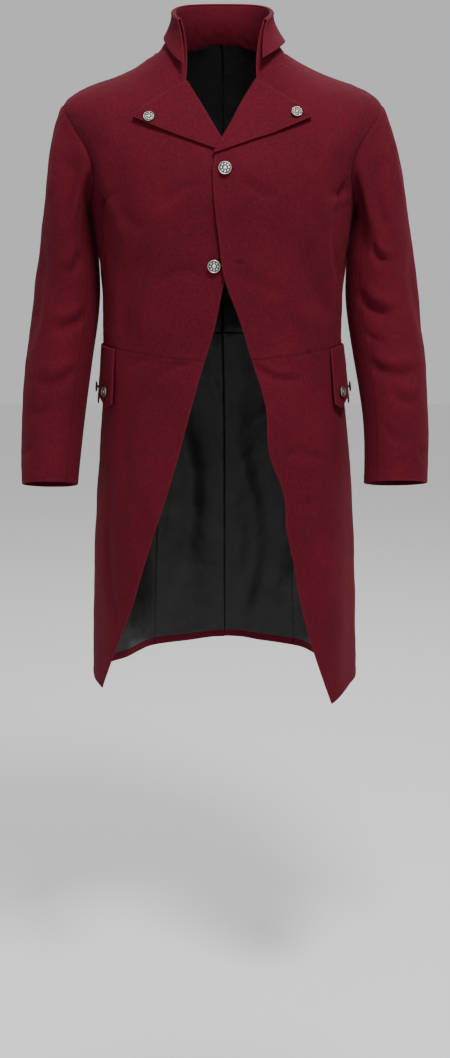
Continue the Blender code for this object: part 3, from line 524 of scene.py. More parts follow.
# In the finishes a noise is its scale, detail and roughness, and a colour is linear red, green, blue, alpha.
# The shares are of rib, yarn, nap, fuzz, speckle and cloud in the tone, and of the first four in the height.
twill = {"rib": 0.0013, "yarn": 0.00075, "nap": (1400, 4, 0.7), "fuzz": (260, 3, 0.6), "cloud": (9, 3, 0.5),
         "speckle": (620, 2, 0.5), "cockling": (34, 2, 0.5), "drift": (90, 2), "middle": 0.46,
         "toneShares": (0.22, 0.10, 0.9, 0.5, 1.1, 0.5), "heightShares": (0.55, 0.25, 0.55, 0.5),
         "seamShare": 0.30, "depth": 0.00026, "cockle": 0.0011,
         "light": (0.138, 0.0078, 0.0192, 1), "dark": (0.036, 0.0017, 0.0050, 1),
         # the last colour here is painted shade, laid along the seams
         "worn": (0.128, 0.0090, 0.0205, 1), "sunk": (0.026, 0.0012, 0.0036, 1),
         "sheenTint": (0.85, 0.10, 0.16, 1)}


def burgundyTwill():
    # diagonal ribs crossed by yarns, a soft brushed nap, lighter fibres on worn edges, and painted shade
    # darkening the seams
    finish, w = newFinish("burgundyTwill")
    place = w.place()
    u, v = w.mapped()
    drift = w.noise(place, *twill["drift"]) * 1.1
    rib = ((u + v * 1.15) * (2 * math.pi / twill["rib"]) + drift).sine() * 0.5 + 0.5
    yarn = ((u * 0.9 - v) * (2 * math.pi / twill["yarn"]) + drift * 0.7).sine() * 0.5 + 0.5
    noises = ("nap", "fuzz", "cloud", "speckle")
    nap, fuzz, cloud, speckle = (w.noise(place, *twill[name]) for name in noises)
    tone = twill["middle"]
    for mask, share in zip((rib, yarn, nap, fuzz, speckle, cloud), twill["toneShares"]):
        tone = tone + (mask - 0.5) * share
    colour = w.mixed(tone.within(), twill["dark"], twill["light"])
    wear, seam = w.fact("wear"), w.fact("seam")
    rubbed = (wear * (nap * 0.55 + fuzz * 0.35)).within()
    colour = w.mixed(rubbed, colour, twill["worn"])
    # painted shade: the colour darkens towards each seam
    colour = w.mixed((seam * twill["seamShare"]).within(), colour, twill["sunk"])
    ribShare, yarnShare, napShare, fuzzShare = twill["heightShares"]
    height = rib * ribShare + yarn * yarnShare + nap * napShare + fuzz * fuzzShare
    cockled = w.bump(w.noise(place, *twill["cockling"]), twill["cockle"], 0.6)
    normal = w.bump(height, twill["depth"], 0.85, under=cockled)
    rough = (0.80 + nap * 0.14 - rubbed * 0.10).within()
    w.surface({"Base Color": colour, "Roughness": rough, "Normal": normal, "Specular IOR Level": 0.10,
               "Sheen Weight": 0.10, "Sheen Roughness": 0.45, "Sheen Tint": twill["sheenTint"]})
    return finish


liningWeave = {"waves": 7800, "slubLength": 0.06, "slubs": (900, 2, 0.6), "soft": (26, 3, 0.5),
               "dark": (0.0030, 0.0030, 0.0036, 1), "light": (0.0110, 0.0110, 0.0125, 1),
               "depth": 0.00010, "creasing": 0.0035}


def blackLining():
    # close plain weave with a soft gloss, faint slubs and shallow creasing
    finish, w = newFinish("blackLining")
    u, v = w.mapped()
    threads = (u * liningWeave["waves"]).sine() * (v * liningWeave["waves"]).sine() * 0.5 + 0.5
    slub = w.noise(w.drawnOut((1, 1, liningWeave["slubLength"])), *liningWeave["slubs"])
    soft = w.noise(w.place(), *liningWeave["soft"])
    tone = (slub * 0.5 + threads * 0.2 + soft * 0.3).within()
    colour = w.mixed(tone, liningWeave["dark"], liningWeave["light"])
    creased = w.bump(soft, liningWeave["creasing"], 0.7)
    normal = w.bump(threads * 0.6 + slub * 0.6, liningWeave["depth"], 0.7, under=creased)
    w.surface({"Base Color": colour, "Roughness": (0.34 + slub * 0.2).within(), "Normal": normal,
               "Specular IOR Level": 0.28, "Sheen Weight": 0.03, "Sheen Roughness": 0.35})
    return finish


tarnish = {"bright": (0.70, 0.68, 0.63, 1), "dark": (0.070, 0.064, 0.056, 1), "grime": (900, 4, 0.6),
           "scratches": (1500, 2, 0.7), "scratchPitch": 6, "depth": 0.00012}


def antiquedMetal():
    # bright worn heights over dark tarnish in the hollows, with fine scratches
    finish, w = newFinish("antiquedMetal")
    grime = w.noise(w.place(), *tarnish["grime"])
    scratch = w.noise(w.drawnOut((1, 1, tarnish["scratchPitch"])), *tarnish["scratches"])
    dark = (w.fact("hollow") * 1.25 + (grime - 0.5) * 0.9).within()
    colour = w.mixed(dark, tarnish["bright"], tarnish["dark"])
    normal = w.bump(grime * 0.5 + scratch * 0.6, tarnish["depth"], 0.6)
    w.surface({"Base Color": colour, "Roughness": (0.24 + dark * 0.30 + scratch * 0.10).within(),
               "Metallic": (1 - dark * 0.25).within(), "Normal": normal})
    return finish


sewing = {"dark": (0.036, 0.0018, 0.0052, 1), "light": (0.150, 0.0090, 0.0215, 1), "twist": (2600, 2, 0.5),
          "depth": 0.00008}


def burgundyThread():
    # twisted sewing thread in the cloth's colour, a little smoother
    finish, w = newFinish("burgundyThread")
    twist = w.noise(w.place(), *sewing["twist"])
    colour = w.mixed(twist, sewing["dark"], sewing["light"])
    w.surface({"Base Color": colour, "Roughness": (0.62 + twist * 0.2).within(), "Specular IOR Level": 0.10,
               "Normal": w.bump(twist, sewing["depth"]), "Sheen Weight": 0.04, "Sheen Roughness": 0.4,
               "Sheen Tint": twill["sheenTint"]})
    return finish


wool, lining, metal, thread = burgundyTwill(), blackLining(), antiquedMetal(), burgundyThread()
print("finishes made")

# Where the body is cut. Each track gives places, angle and level, at fractional row numbers.
cornerTurn = math.radians(48)
frontFoot = (math.radians(-25), waistLevel)
backFoot = (math.radians(60), waistLevel)
tailFoot = (math.radians(57), hemLevel)
sideNames = {1: "left", -1: "right"}
# The front edges as they are seen from the front, from the lapel's foot down
frontEdges = {
    1: {"z": (-.154, -.217, -.284, -.330, -.379, -.418, -.450, -.524, -.594, -.653, -.700, -.746, -.812,
              -.881, -.986),
        "x": (-.0147, -.0125, -.0045, .0020, .0194, .0324, .0418, .0640, .0700, .0915, .0950, .1040, .1175,
              .1343, .1700)},
    -1: {"z": (-.157, -.220, -.290, -.341, -.401, -.452, -.539, -.640, -.734, -.833, -.916, -.981),
         "x": (.0180, .0240, .0170, .0022, -.0105, -.0256, -.0506, -.0787, -.1091, -.1387, -.1710, -.1915)},
}


def chain(rows, *parts):
    # each part is its first row, its last row and its places as a function of the share between them
    places = np.zeros((len(rows), 2))
    for first, last, at in parts:
        here = (rows >= first) & (rows <= last)
        places[here] = at((rows[here] - first) / (last - first))
    return places


def straight(start, end):
    # the line between two places, as a function of the share of it
    start, end = np.array(start, float), np.array(end, float)
    return lambda share: start + (end - start) * share[:, None]


def mirrored(places, side):
    # on the right side an angle becomes a half turn less it
    return places if side > 0 else np.stack([math.pi - places[..., 0], places[..., 1]], axis=-1)


def runOn(angle, side):
    # seen angles of the right side, carried on past the back
    return angle + (0 if side > 0 else 2 * math.pi)


def edgePlaces(side, levels):
    # the front edge of that side: a spline of x over z, read back as angle at each level
    z, x = (np.array(frontEdges[side][name])[::-1] for name in ("z", "x"))
    fine = np.linspace(z[0], z[-1], 400)
    angle, level = onFront(spline(z, x)(fine), fine)
    return np.stack([np.interp(levels, level, runOn(angle, side)), levels], axis=-1)


# Break and tips are x and z as seen from the front; gorge is the angle where the lapel leaves the neck seam
lapel = {"break": (-.0139, -.154), "gorge": math.radians(-57), "tipTop": (.1275, -.0990),
         "tipFoot": (.1285, -.1035), "topBow": .004, "footBow": .001, "gap": .0012, "bulge": .0016,
         "edgeRise": .0034, "footRise": .0026, "foldRadius": .0024, "length": .075, "rows": 54,
         "columns": 62, "grain": (0.9, 0.45)}
foldTurns = np.linspace(0, math.pi, 17)[:-1]  # the steps of cloth going round a fold


def rollEnds(side):
    # foot and top of the line where the front ends under the lapel, as seen from the front
    neck = mirrored(np.array([[lapel["gorge"], neckLevel]]), side)
    corner = body(neck[:, 0], neck[:, 1])[0]
    foot = np.array(lapel["break"]) + (lapel["foldRadius"] + cloth["thick"] / 2, 0)
    return foot, np.array([side * corner[0], corner[2]])


def rollPlaces(side, share):
    # places at shares of that line, from its foot
    foot, top = rollEnds(side)
    seen = foot + (top - foot) * share[:, None]
    angle, level = onFront(side * seen[:, 0], seen[:, 1])
    return np.stack([runOn(angle, side), level], axis=-1)


def ruled(first, last, columns):
    # straight lines in angle and level between two tracks, with small steps by both
    share = np.linspace(0, 1, 13)[None, :, None]
    path = first[:, None] * (1 - share) + last[:, None] * share
    reach = np.linalg.norm(np.diff(body(path[..., 0], path[..., 1]), axis=1), axis=-1).sum(axis=1)
    share = spacing(reach, columns)[..., None]
    grid = first[:, None] * (1 - share) + last[:, None] * share
    return grid[..., 0], grid[..., 1]


def bodyPiece(node, angle, level, height, seams, finishes, thick=cloth["thick"], lined=None):
    # a wall whose outer face stands that height above the body's surface
    skin, outward = body(angle, level), normalsOf(body, angle, level)
    rise = height - thick / 2 + bodyRelief(angle, level, skin)
    coordinates = np.stack([angle * unrolled, skin[..., 2]], axis=-1)
    return clothWall(node, skin + outward * rise[..., None], outward, seams, coordinates, finishes,
                     thick, lined)


sewn = []  # lines of stitches: a path on the cloth, the way outwards along it and the name of its piece


def stitchAlong(outer, outward, name, *lines):
    # each line is the rows and the columns that it takes of a piece's outer face
    for where in lines:
        sewn.append((outer[where], outward[where], name))


# Each body piece has its rough length, the rows and columns of its mesh and the row numbers of its corners
front = {"length": 0.46, "rows": 114, "columns": 74, "armholeFoot": 6, "rollFoot": 10, "shoulder": 13,
         "neck": 18, "facing": 0.065, "curl": 0.0046, "curlHalf": 0.013, "curlFrom": 0.5, "curlTo": 9.2,
         "sewnFrom": 0.2, "sewnTo": 9.7}


def makeFront(side):
    # rows run up from the waist seam; the first column is the front edge, then the roll of the lapel
    corner, roll, shoulder, neck = (front[key] for key in ("armholeFoot", "rollFoot", "shoulder", "neck"))
    rows = withKeys(neck * spacing(front["length"], front["rows"]), (corner, roll, shoulder))
    foot = rollPlaces(side, np.zeros(1))[0]

    def edge(share):
        places = edgePlaces(side, waistLevel + (foot[1] - waistLevel) * share)
        miss = foot - edgePlaces(side, foot[1:])[0]
        return places + miss * np.clip(10 * share - 9, 0, 1)[:, None]

    first = chain(rows, (0, roll, edge), (roll, neck, lambda share: rollPlaces(side, share)))
    last = chain(rows, (0, corner, straight(frontFoot, armhole(cornerTurn))),
                 (corner, shoulder, lambda share: armhole(cornerTurn + (math.pi - cornerTurn) * share)),
                 (shoulder, neck, straight((0, shoulderLevel), (0, neckLevel))))
    angle, level = ruled(first, mirrored(last, side), front["columns"])
    name = sideNames[side]
    inward = np.abs(angle - angle[:, :1]) * unrolled
    fade = (ease((rows - front["curlFrom"]) / 3) * ease((front["curlTo"] - rows) / 4))[:, None]
    curl = front["curl"] * hump(inward, front["curlHalf"]) * fade * (side > 0)  # the left edge rolls forward
    height = lift(side, angle, level) + curl
    outer, outward = bodyPiece("front_" + name, angle, level, height, (1, 1, 0, 1), [wool, lining],
                               lined=inward > front["facing"])
    edgeRows = (rows > front["sewnFrom"]) & (rows < front["sewnTo"])
    stitchAlong(outer, outward, name, (edgeRows, stitchStep))


sidePanel = {"length": 0.23, "width": 0.24, "rows": 70, "columns": 80}


def makeSide(side):
    # rows run up from the waist seam to the underarm
    rows = spacing(sidePanel["length"], sidePanel["rows"])
    cols = spacing(sidePanel["width"], sidePanel["columns"])
    foot = np.array(frontFoot) + (np.array(backFoot) - frontFoot) * cols[:, None]
    top = armhole(cornerTurn - 2 * cornerTurn * cols)
    foot, top = mirrored(foot, side), mirrored(top, side)
    grid = foot[None] * (1 - rows[:, None, None]) + top[None] * rows[:, None, None]
    name = sideNames[side]
    bodyPiece("side_" + name, grid[..., 0], grid[..., 1], np.zeros(grid.shape[:2]), (1, 1, 1, 1),
              [wool, lining], lined=True)


tailRows = 12  # the row number of the waist on tails, skirts and linings


def tailLevels(rows):
    return waistLevel * np.clip(rows / tailRows, 0, 1)


def tailSeam(rows, side):
    return mirrored(chain(rows, (0, tailRows, straight(tailFoot, backFoot))), side)


back = {"length": 1.0, "rows": 164, "columns": 56, "armholeFoot": 18, "shoulder": 25, "neck": 30,
        "ventTop": 3.66, "ventFade": 0.32, "overlap": 0.028, "liningFrom": 3.75, "sewnTo": 3.3}


def makeBack(side):
    # rows run up from the hem of the tail to the neck; the last column is the centre back seam and the vent
    corner, shoulder, neck = back["armholeFoot"], back["shoulder"], back["neck"]
    rows = withKeys(neck * spacing(back["length"], back["rows"]), (tailRows, corner, shoulder))
    cornerLevel = armhole(-cornerTurn)[1]
    first = chain(rows, (0, tailRows, straight(tailFoot, backFoot)),
                  (tailRows, corner, straight(backFoot, armhole(-cornerTurn))),
                  (corner, shoulder, lambda share: armhole(-cornerTurn - (math.pi - cornerTurn) * share)),
                  (shoulder, neck, straight((0, shoulderLevel), (0, neckLevel))))
    levels = np.interp(rows, (0, tailRows, corner, neck), (hemLevel, waistLevel, cornerLevel, neckLevel))
    opened = ease((back["ventTop"] - levels) / back["ventFade"])
    last = np.full(levels.shape, math.pi / 2)
    if side > 0:
        last = last + opened * back["overlap"] / bodyShape["halfWidth"](levels)
    angle, level = ruled(mirrored(first, side), np.stack([last, levels], axis=-1), back["columns"])
    name = sideNames[side]
    outer, outward = bodyPiece("back_" + name, angle, level, ventLift(side, angle, level),
                               (0, 1, 1, 1 - opened), [wool, lining],
                               lined=level > back["liningFrom"])
    stitchAlong(outer, outward, name, (levels < back["sewnTo"], -1 - stitchStep))


skirt = {"length": 0.55, "rows": 98, "columns": 88}


def makeSkirt(side):
    # rows run up from the hem to the waist seam; the first column is the front edge, the last the tail seam
    rows = tailRows * spacing(skirt["length"], skirt["rows"])
    first, last = edgePlaces(side, tailLevels(rows)), tailSeam(rows, side)
    angle, level = ruled(first, last, skirt["columns"])
    name = sideNames[side]
    outer, outward = bodyPiece("skirt_" + name, angle, level, lift(side, angle, level), (0, 1, 0, 1), [wool])
    stitchAlong(outer, outward, name, (slice(None), stitchStep))


# How far it ends short of hem, waist and front edge, and its rows and columns in skirt and tail
tailLining = {"thick": .0010, "hem": .012, "waist": .004, "front": .014, "rows": 52, "skirt": 42, "back": 26}


def makeLinings(side):
    # the lining lies one layer inside, short of the front edge and the hem
    length, hem = skirt["length"], tailLining["hem"]
    covered = length - hem - tailLining["waist"]
    rows = tailRows * (hem + covered * spacing(length, tailLining["rows"])) / length
    seam, edge = tailSeam(rows, side), edgePlaces(side, tailLevels(rows))
    width = np.linalg.norm(body(edge[:, 0], edge[:, 1]) - body(seam[:, 0], seam[:, 1]), axis=-1)
    edge = edge + (seam - edge) * (tailLining["front"] / width)[:, None]
    middle = np.stack([np.full(len(rows), math.pi / 2), tailLevels(rows)], axis=-1)
    name = sideNames[side]
    for part, first, last, raised in (("skirt", edge, seam, lift), ("back", seam, middle, ventLift)):
        angle, level = ruled(first, last, tailLining[part])
        height = raised(side, angle, level) - cloth["thick"] - cloth["layerGap"]
        seams = (0, 1, 0 if part == "skirt" else 1, 1)
        bodyPiece(f"lining_{part}_{name}", angle, level, height, seams, [lining],
                  thick=tailLining["thick"])


def bowed(start, end, bow, share):
    # a shallow parabola from start to end, bowed to its left
    start, end = np.array(start), np.array(end)
    across = np.array([start[1] - end[1], end[0] - start[0]])
    across = across / np.linalg.norm(across)
    share = share[..., None]
    return start + (end - start) * share + across * bow * 4 * share * (1 - share)


def makeLapel(side):
    # rows run down from the top edge to the foot; columns go round the fold and out to the tip
    rollFoot, rollTop = rollEnds(side)
    down = spacing(lapel["length"], lapel["rows"])
    width = np.linalg.norm(np.array(lapel["tipTop"]) - rollTop) * (1 - down) \
        + np.linalg.norm(np.array(lapel["tipFoot"]) - rollFoot) * down
    out = np.maximum.accumulate(spacing(width, lapel["columns"], start=False), axis=1)
    down = down[:, None]
    seen = bowed(rollTop, lapel["tipTop"], lapel["topBow"], out) * (1 - down[..., None]) \
        + bowed(rollFoot, lapel["tipFoot"], -lapel["footBow"], out) * down[..., None]
    angle, level = onFront(side * seen[..., 0], seen[..., 1])
    skin, normal = body(angle, level), normalsOf(body, angle, level)
    relief = bodyRelief(angle, level, skin)
    under = lift(side, angle, level)
    rise = lapel["gap"] + lapel["bulge"] * hump(out, 0.35) * (1 - ease((down - 0.3) / 0.4)) \
        + lapel["edgeRise"] * ease((out - 0.5) / 0.5) \
        + lapel["footRise"] * ease((down - 0.55) / 0.45) * (0.5 + 0.5 * out)
    flat = skin + normal * (under + rise + cloth["thick"] / 2 + relief)[..., None]
    edge, up = skin[:, 0], normal[:, 0]
    away = unit(np.cross(unit(np.gradient(edge, axis=0)), up)) * side
    radius = (rise[:, 0] + cloth["thick"]) / 2
    centre = edge + up * (under[:, 0] - cloth["thick"] / 2 + radius + relief[:, 0])[:, None]
    turns = foldTurns[None, :, None]
    spoke = away[:, None] * np.sin(turns) - up[:, None] * np.cos(turns)
    middle = np.concatenate([centre[:, None] + spoke * radius[:, None, None], flat], axis=1)
    outward = np.concatenate([spoke, normal], axis=1)
    steps = edgeDistances(middle)
    along, aside = lapel["grain"]
    turned = (steps[2] * along + steps[0] * aside, steps[0] * along - steps[2] * aside)
    coordinates = np.stack(turned, axis=-1)
    name = sideNames[side]
    outer, outward = clothWall("lapel_" + name, middle, outward, (0, 0, 0, 0), coordinates, [wool])
    share = np.linspace(0.04, 1, 120)
    inset = cloth["stitchIn"]
    top = bowed(rollTop, lapel["tipTop"], lapel["topBow"], share) - (0, inset)
    foot = bowed(rollFoot, lapel["tipFoot"], -lapel["footBow"], share[::-1]) + (-0.4 * inset, inset)
    apart = top[:, 1] - np.interp(top[:, 0], foot[::-1, 0], foot[::-1, 1])
    path = np.concatenate([top[apart > 0], foot[np.interp(foot[:, 0], top[:, 0], apart) > 0]])
    shown = len(foldTurns) + 1
    faces, ways = outer[:, shown:].reshape(-1, 3), outward[:, shown:].reshape(-1, 3)
    gaps = np.hypot(faces[None, :, 0] * side - path[:, :1], faces[None, :, 2] - path[:, 1:])
    nearest = gaps.argmin(axis=1)
    line = np.stack([side * path[:, 0], faces[nearest, 1], path[:, 1]], axis=-1)
    sewn.append((line, ways[nearest], name))


# Angles are where the stand's top and the fall's edge begin in front. The rings are the fold's, and those of
# the fall's free edge, as it is at the left and at the right.
evenRing = {"squareness": 0, "sway": 0, "evenness": 1}
collar = {
    "topAngle": math.radians(-32), "fallAngle": math.radians(-51), "foldRadius": .0024, "standBow": .006,
    "fallBow": .35, "neckLength": .46, "standHeight": .075, "foldLength": .50, "fallHeight": .065,
    "standColumns": 146, "fallColumns": 154, "rows": 34, "standWave": .0004, "fallWave": .0007,
    "fold": {"sideZ": .056, "frontZ": .022, "backZ": .072, "halfWidth": .072, "frontDepth": .105,
             "backDepth": .070, **evenRing},
    "left": {"sideZ": .0145, "frontZ": -.027, "backZ": .006, "halfWidth": .0940, "frontDepth": .124,
             "backDepth": .104, **evenRing},
    "right": {"sideZ": .0190, "frontZ": -.050, "backZ": .006, "halfWidth": .0875, "frontDepth": .120,
              "backDepth": .104, **evenRing},
}


def standFace(share, rise):
    # straight from the neck seam up to the fold's ring, hollowed inwards by a parabola
    footAngle = lapel["gorge"] + share * (math.pi - 2 * lapel["gorge"])
    topAngle = collar["topAngle"] + share * (math.pi - 2 * collar["topAngle"])
    foot = body(footAngle, np.full(np.shape(footAngle), float(neckLevel)))
    top = ringPoint(topAngle, collar["fold"])
    rise = np.asarray(rise)[..., None]
    hollow = collar["standBow"] * 4 * rise * (1 - rise)
    return foot * (1 - rise) + top * rise - unit(top * (1, 1, 0)) * hollow


def foldFrame(share):
    # the stand's top edge, the way out of it and the way up it
    one = np.ones(np.shape(share))
    out = normalsOf(standFace, share, one)
    up = unit(standFace(share, one) - standFace(share, one - 1e-3))
    return standFace(share, one) - out * cloth["thick"] / 2 + up * 0.0003, out, up


def fallFace(share, drop):
    # quadratic curve from the fold, down along the stand, to the free edge's ring
    start, out, up = foldFrame(share)
    start = start + out * 2 * collar["foldRadius"]
    angle = collar["fallAngle"] + share * (math.pi - 2 * collar["fallAngle"])
    leftness = (1 + np.cos(angle)) / 2
    edge = ringPoint(angle, {name: collar["right"][name] * (1 - leftness) + value * leftness
                             for name, value in collar["left"].items()})
    turn = start - up * np.linalg.norm(edge - start, axis=-1, keepdims=True) * collar["fallBow"]
    drop = np.asarray(drop)[..., None]
    return start * (1 - drop) ** 2 + turn * 2 * drop * (1 - drop) + edge * drop**2


def collarRelief(share, depth, most):
    # soft waves round the collar, strongest at the free edge
    wave = np.sin(19 * share + 2 * np.sin(5 * share)) * 0.6 + np.sin(43 * share + 1.3) * 0.3
    return most * wave * depth


def makeCollar():
    # the stand starts a little below the neck seam; the fall goes round the fold and down to its free edge
    rises = spacing(0.077, collar["rows"]) * 1.03 - 0.03
    share, rise = np.meshgrid(spacing(collar["neckLength"], collar["standColumns"]), rises)
    outward = normalsOf(standFace, share, rise)
    relief = collarRelief(share, np.sin(math.pi * np.clip(rise, 0, 1)) ** 2, collar["standWave"])
    middle = standFace(share, rise) + outward * (relief - cloth["thick"] / 2)[..., None]
    coordinates = np.stack([share * collar["neckLength"], rise * collar["standHeight"]], axis=-1)
    clothWall("collar_stand", middle, outward, (1, 0, 0, 0), coordinates, [wool])
    line = spacing(collar["foldLength"], collar["fallColumns"])
    centre, out, up = foldFrame(line)
    turns = foldTurns[:, None, None]
    curlWay = up[None] * np.sin(turns) - out[None] * np.cos(turns)
    curl = centre + out * collar["foldRadius"] + curlWay * collar["foldRadius"]
    share, drop = np.meshgrid(line, spacing(collar["fallHeight"], collar["rows"], start=False)[1:])
    drop = np.maximum.accumulate(drop, axis=0)
    outward = -normalsOf(fallFace, share, drop)
    relief = collarRelief(share, drop**2, collar["fallWave"])
    flat = fallFace(share, drop) + outward * relief[..., None]
    start = fallFace(line, np.zeros(len(line)))[None]
    middle = np.concatenate([curl, start, flat])
    outward = np.concatenate([curlWay, -normalsOf(fallFace, line, np.zeros(len(line)))[None], outward])
    steps = edgeDistances(middle)
    coordinates = np.stack([steps[2], steps[0]], axis=-1)
    outer, outward = clothWall("collar_fall", middle, outward, (0, 0, 0, 0), coordinates, [wool])
    edge, ends = slice(stitchStep, -stitchStep), slice(20, -stitchStep)
    stitchAlong(outer, outward, "collar", (-1 - stitchStep, edge), (ends, stitchStep),
                (ends, -1 - stitchStep))


# Sleeves: height, outer and inner distance from the middle, middle in Y and half depth, biceps to cuff.
# Turns say in degrees how steeply the cloth leaves the armhole, at its top and under the arm. Reaches say
# how far it keeps to that way, and to the arm's own way at the biceps.
sleeves = {
    1: {"z": (-.262, -.360, -.450, -.550, -.645), "outer": (.2845, .2995, .3095, .3140, .3115),
        "inner": (.1900, .1880, .1995, .2145, .2155), "middleY": (.004, .006, -.007, -.035, -.063),
        "halfDepth": (.083, .075, .068, .060, .054)},
    -1: {"z": (-.262, -.360, -.450, -.550, -.647), "outer": (.2740, .2880, .2995, .3070, .3050),
         "inner": (.1900, .1870, .1975, .2105, .2205), "middleY": (.004, .006, -.007, -.035, -.063),
         "halfDepth": (.083, .075, .068, .060, .052)},
    "bicepTilt": .010, "cuffTilt": .012, "clear": .0025, "headReach": .036, "underReach": .006,
    "armReach": .075, "topTurn": 8, "underTurn": 95, "armRadius": .058,
    "length": 0.56, "headLength": 0.17, "upperWidth": 0.30, "underWidth": 0.11, "rows": 114,
    "upperColumns": 92, "underColumns": 36, "fullness": 0.0010, "fullAt": 0.075, "fullHalf": 0.045,
    "smoothTo": 34, "smoothFade": 26, "linedTo": 1.93,
}
sleeveShape = {side: {name: spline(np.linspace(0, 1, 5), values) for name, values in sleeves[side].items()}
               for side in (1, -1)}
# Creases of the sleeves: turn in degrees and z of both ends, half width, outward depth.
# Turn 90 is the front of the sleeve, 180 its outer side and 270 its back.
sleeveCreases = {
    1: ((70, -.288, 92, -.310, .0070, -.0030), (80, -.282, 104, -.300, .0080, .0020),
        (46, -.362, 90, -.390, .0085, -.0034), (60, -.350, 104, -.372, .0090, .0022),
        (52, -.466, 132, -.474, .0095, -.0030), (60, -.452, 120, -.456, .0090, .0020),
        (80, -.506, 124, -.520, .0070, -.0024), (96, -.492, 140, -.500, .0080, .0016),
        (50, -.418, 84, -.430, .0065, -.0020), (64, -.560, 110, -.574, .0080, -.0016),
        (224, -.380, 262, -.402, .0080, -.0026), (236, -.430, 292, -.446, .0085, -.0034),
        (230, -.444, 284, -.462, .0080, .0022), (242, -.470, 300, -.476, .0075, -.0030),
        (226, -.506, 272, -.520, .0080, -.0022), (150, -.300, 166, -.420, .0150, -.0020),
        (196, -.210, 214, -.340, .0140, -.0022), (112, -.165, 92, -.262, .0120, -.0034),
        (70, -.135, 50, -.300, .0180, -.0046), (96, -.150, 72, -.262, .0090, .0026),
        (150, -.130, 140, -.222, .0120, .0020), (256, -.190, 268, -.290, .0110, -.0026),
        (300, -.300, 318, -.392, .0100, -.0022), (126, -.590, 170, -.604, .0090, -.0014)),
    -1: ((62, -.300, 84, -.332, .0080, -.0022), (70, -.286, 98, -.312, .0085, .0016),
         (48, -.392, 96, -.410, .0085, -.0026), (60, -.378, 106, -.390, .0085, .0016),
         (56, -.478, 120, -.490, .0090, -.0024), (66, -.462, 118, -.470, .0090, .0015),
         (90, -.528, 132, -.536, .0075, -.0018), (230, -.372, 270, -.390, .0080, -.0024),
         (238, -.424, 296, -.442, .0085, -.0032), (232, -.438, 288, -.458, .0080, .0020),
         (246, -.468, 304, -.478, .0075, -.0028), (228, -.512, 274, -.522, .0080, -.0020),
         (146, -.280, 160, -.440, .0160, -.0022), (190, -.220, 208, -.360, .0140, -.0020),
         (108, -.160, 92, -.250, .0120, -.0034), (146, -.128, 134, -.214, .0120, .0020),
         (72, -.135, 48, -.310, .0180, -.0046), (100, -.135, 80, -.250, .0090, .0026),
         (258, -.186, 270, -.280, .0110, -.0024), (304, -.290, 322, -.386, .0100, -.0020),
         (120, -.584, 166, -.598, .0090, -.0013), (132, -.340, 120, -.420, .0120, .0016)),
}


def sleeveRing(side, turn, down):
    # an ellipse whose sizes are splines down the arm, tilted at the biceps and at the cuff
    at = {name: value(down) for name, value in sleeveShape[side].items()}
    x = (at["outer"] + at["inner"]) / 2 - (at["outer"] - at["inner"]) / 2 * np.cos(turn)
    y = at["middleY"] - at["halfDepth"] * np.sin(turn)
    tilt = sleeves["cuffTilt"] * np.sin(turn) * ease(down) \
        - sleeves["bicepTilt"] * np.cos(turn) * (1 - ease(down * 3))
    return np.stack(np.broadcast_arrays(side * x, y, at["z"] + tilt), axis=-1)


def besideBody(point, side):
    # eases points outwards to keep the sleeve clear of the side of the body
    x, y, z = side * point[..., 0], point[..., 1], point[..., 2]
    level = np.interp(z, bodyRings["sideZ"], ringLevels)
    depth = np.where(y < 0, bodyShape["frontDepth"](level), bodyShape["backDepth"](level))
    angle = np.arcsin(np.clip(y / depth, -0.98, 0.98))
    angle = angle if side > 0 else math.pi - angle
    nearest = side * body(angle, level)[..., 0] + sleeves["clear"]
    eased = (x + nearest + np.sqrt((x - nearest) ** 2 + sleeves["clear"] ** 2)) / 2
    return np.stack([side * eased, y, z], axis=-1)


def sleeveSeat(side, turn):
    # the armhole seam, the body's normal there and the way into the hole along the body
    def onBody(places):
        places = mirrored(places, side)
        return body(places[..., 0], places[..., 1])

    places = mirrored(armhole(turn), side)
    normal = normalsOf(body, places[..., 0], places[..., 1])
    along = unit(onBody(armhole(turn + 1e-3)) - onBody(armhole(turn - 1e-3)))
    return onBody(armhole(turn)), normal, np.cross(along, normal) * side


def sleeveFace(side):
    # down 0 to 1 is the head, a cubic curve from the armhole to the biceps; 1 to 2 is the arm
    def face(turn, down):
        seat, normal, inward = sleeveSeat(side, turn)
        rounding = (1 + np.cos(turn)) / 2

        def blend(top, under):
            return (sleeves[top] + (sleeves[under] - sleeves[top]) * rounding)[..., None]

        bend = np.radians(blend("topTurn", "underTurn"))
        leave = inward * np.cos(bend) + normal * np.sin(bend)
        end = sleeveRing(side, turn, np.zeros(np.shape(turn)))
        arrive = unit(sleeveRing(side, turn, np.full(np.shape(turn), 0.02)) - end)
        near, far = blend("headReach", "underReach"), blend("armReach", "underReach")
        share = np.clip(down, -1, 1)[..., None]
        rest = 1 - share
        head = seat * rest**3 + (seat + leave * near) * 3 * share * rest**2 \
            + (end - arrive * far) * 3 * share**2 * rest + end * share**3
        place = np.where((down > 1)[..., None], sleeveRing(side, turn, np.clip(down - 1, 0, 2)), head)
        return place + (besideBody(place, side) - place) * ease(down * 4)[..., None]

    return face


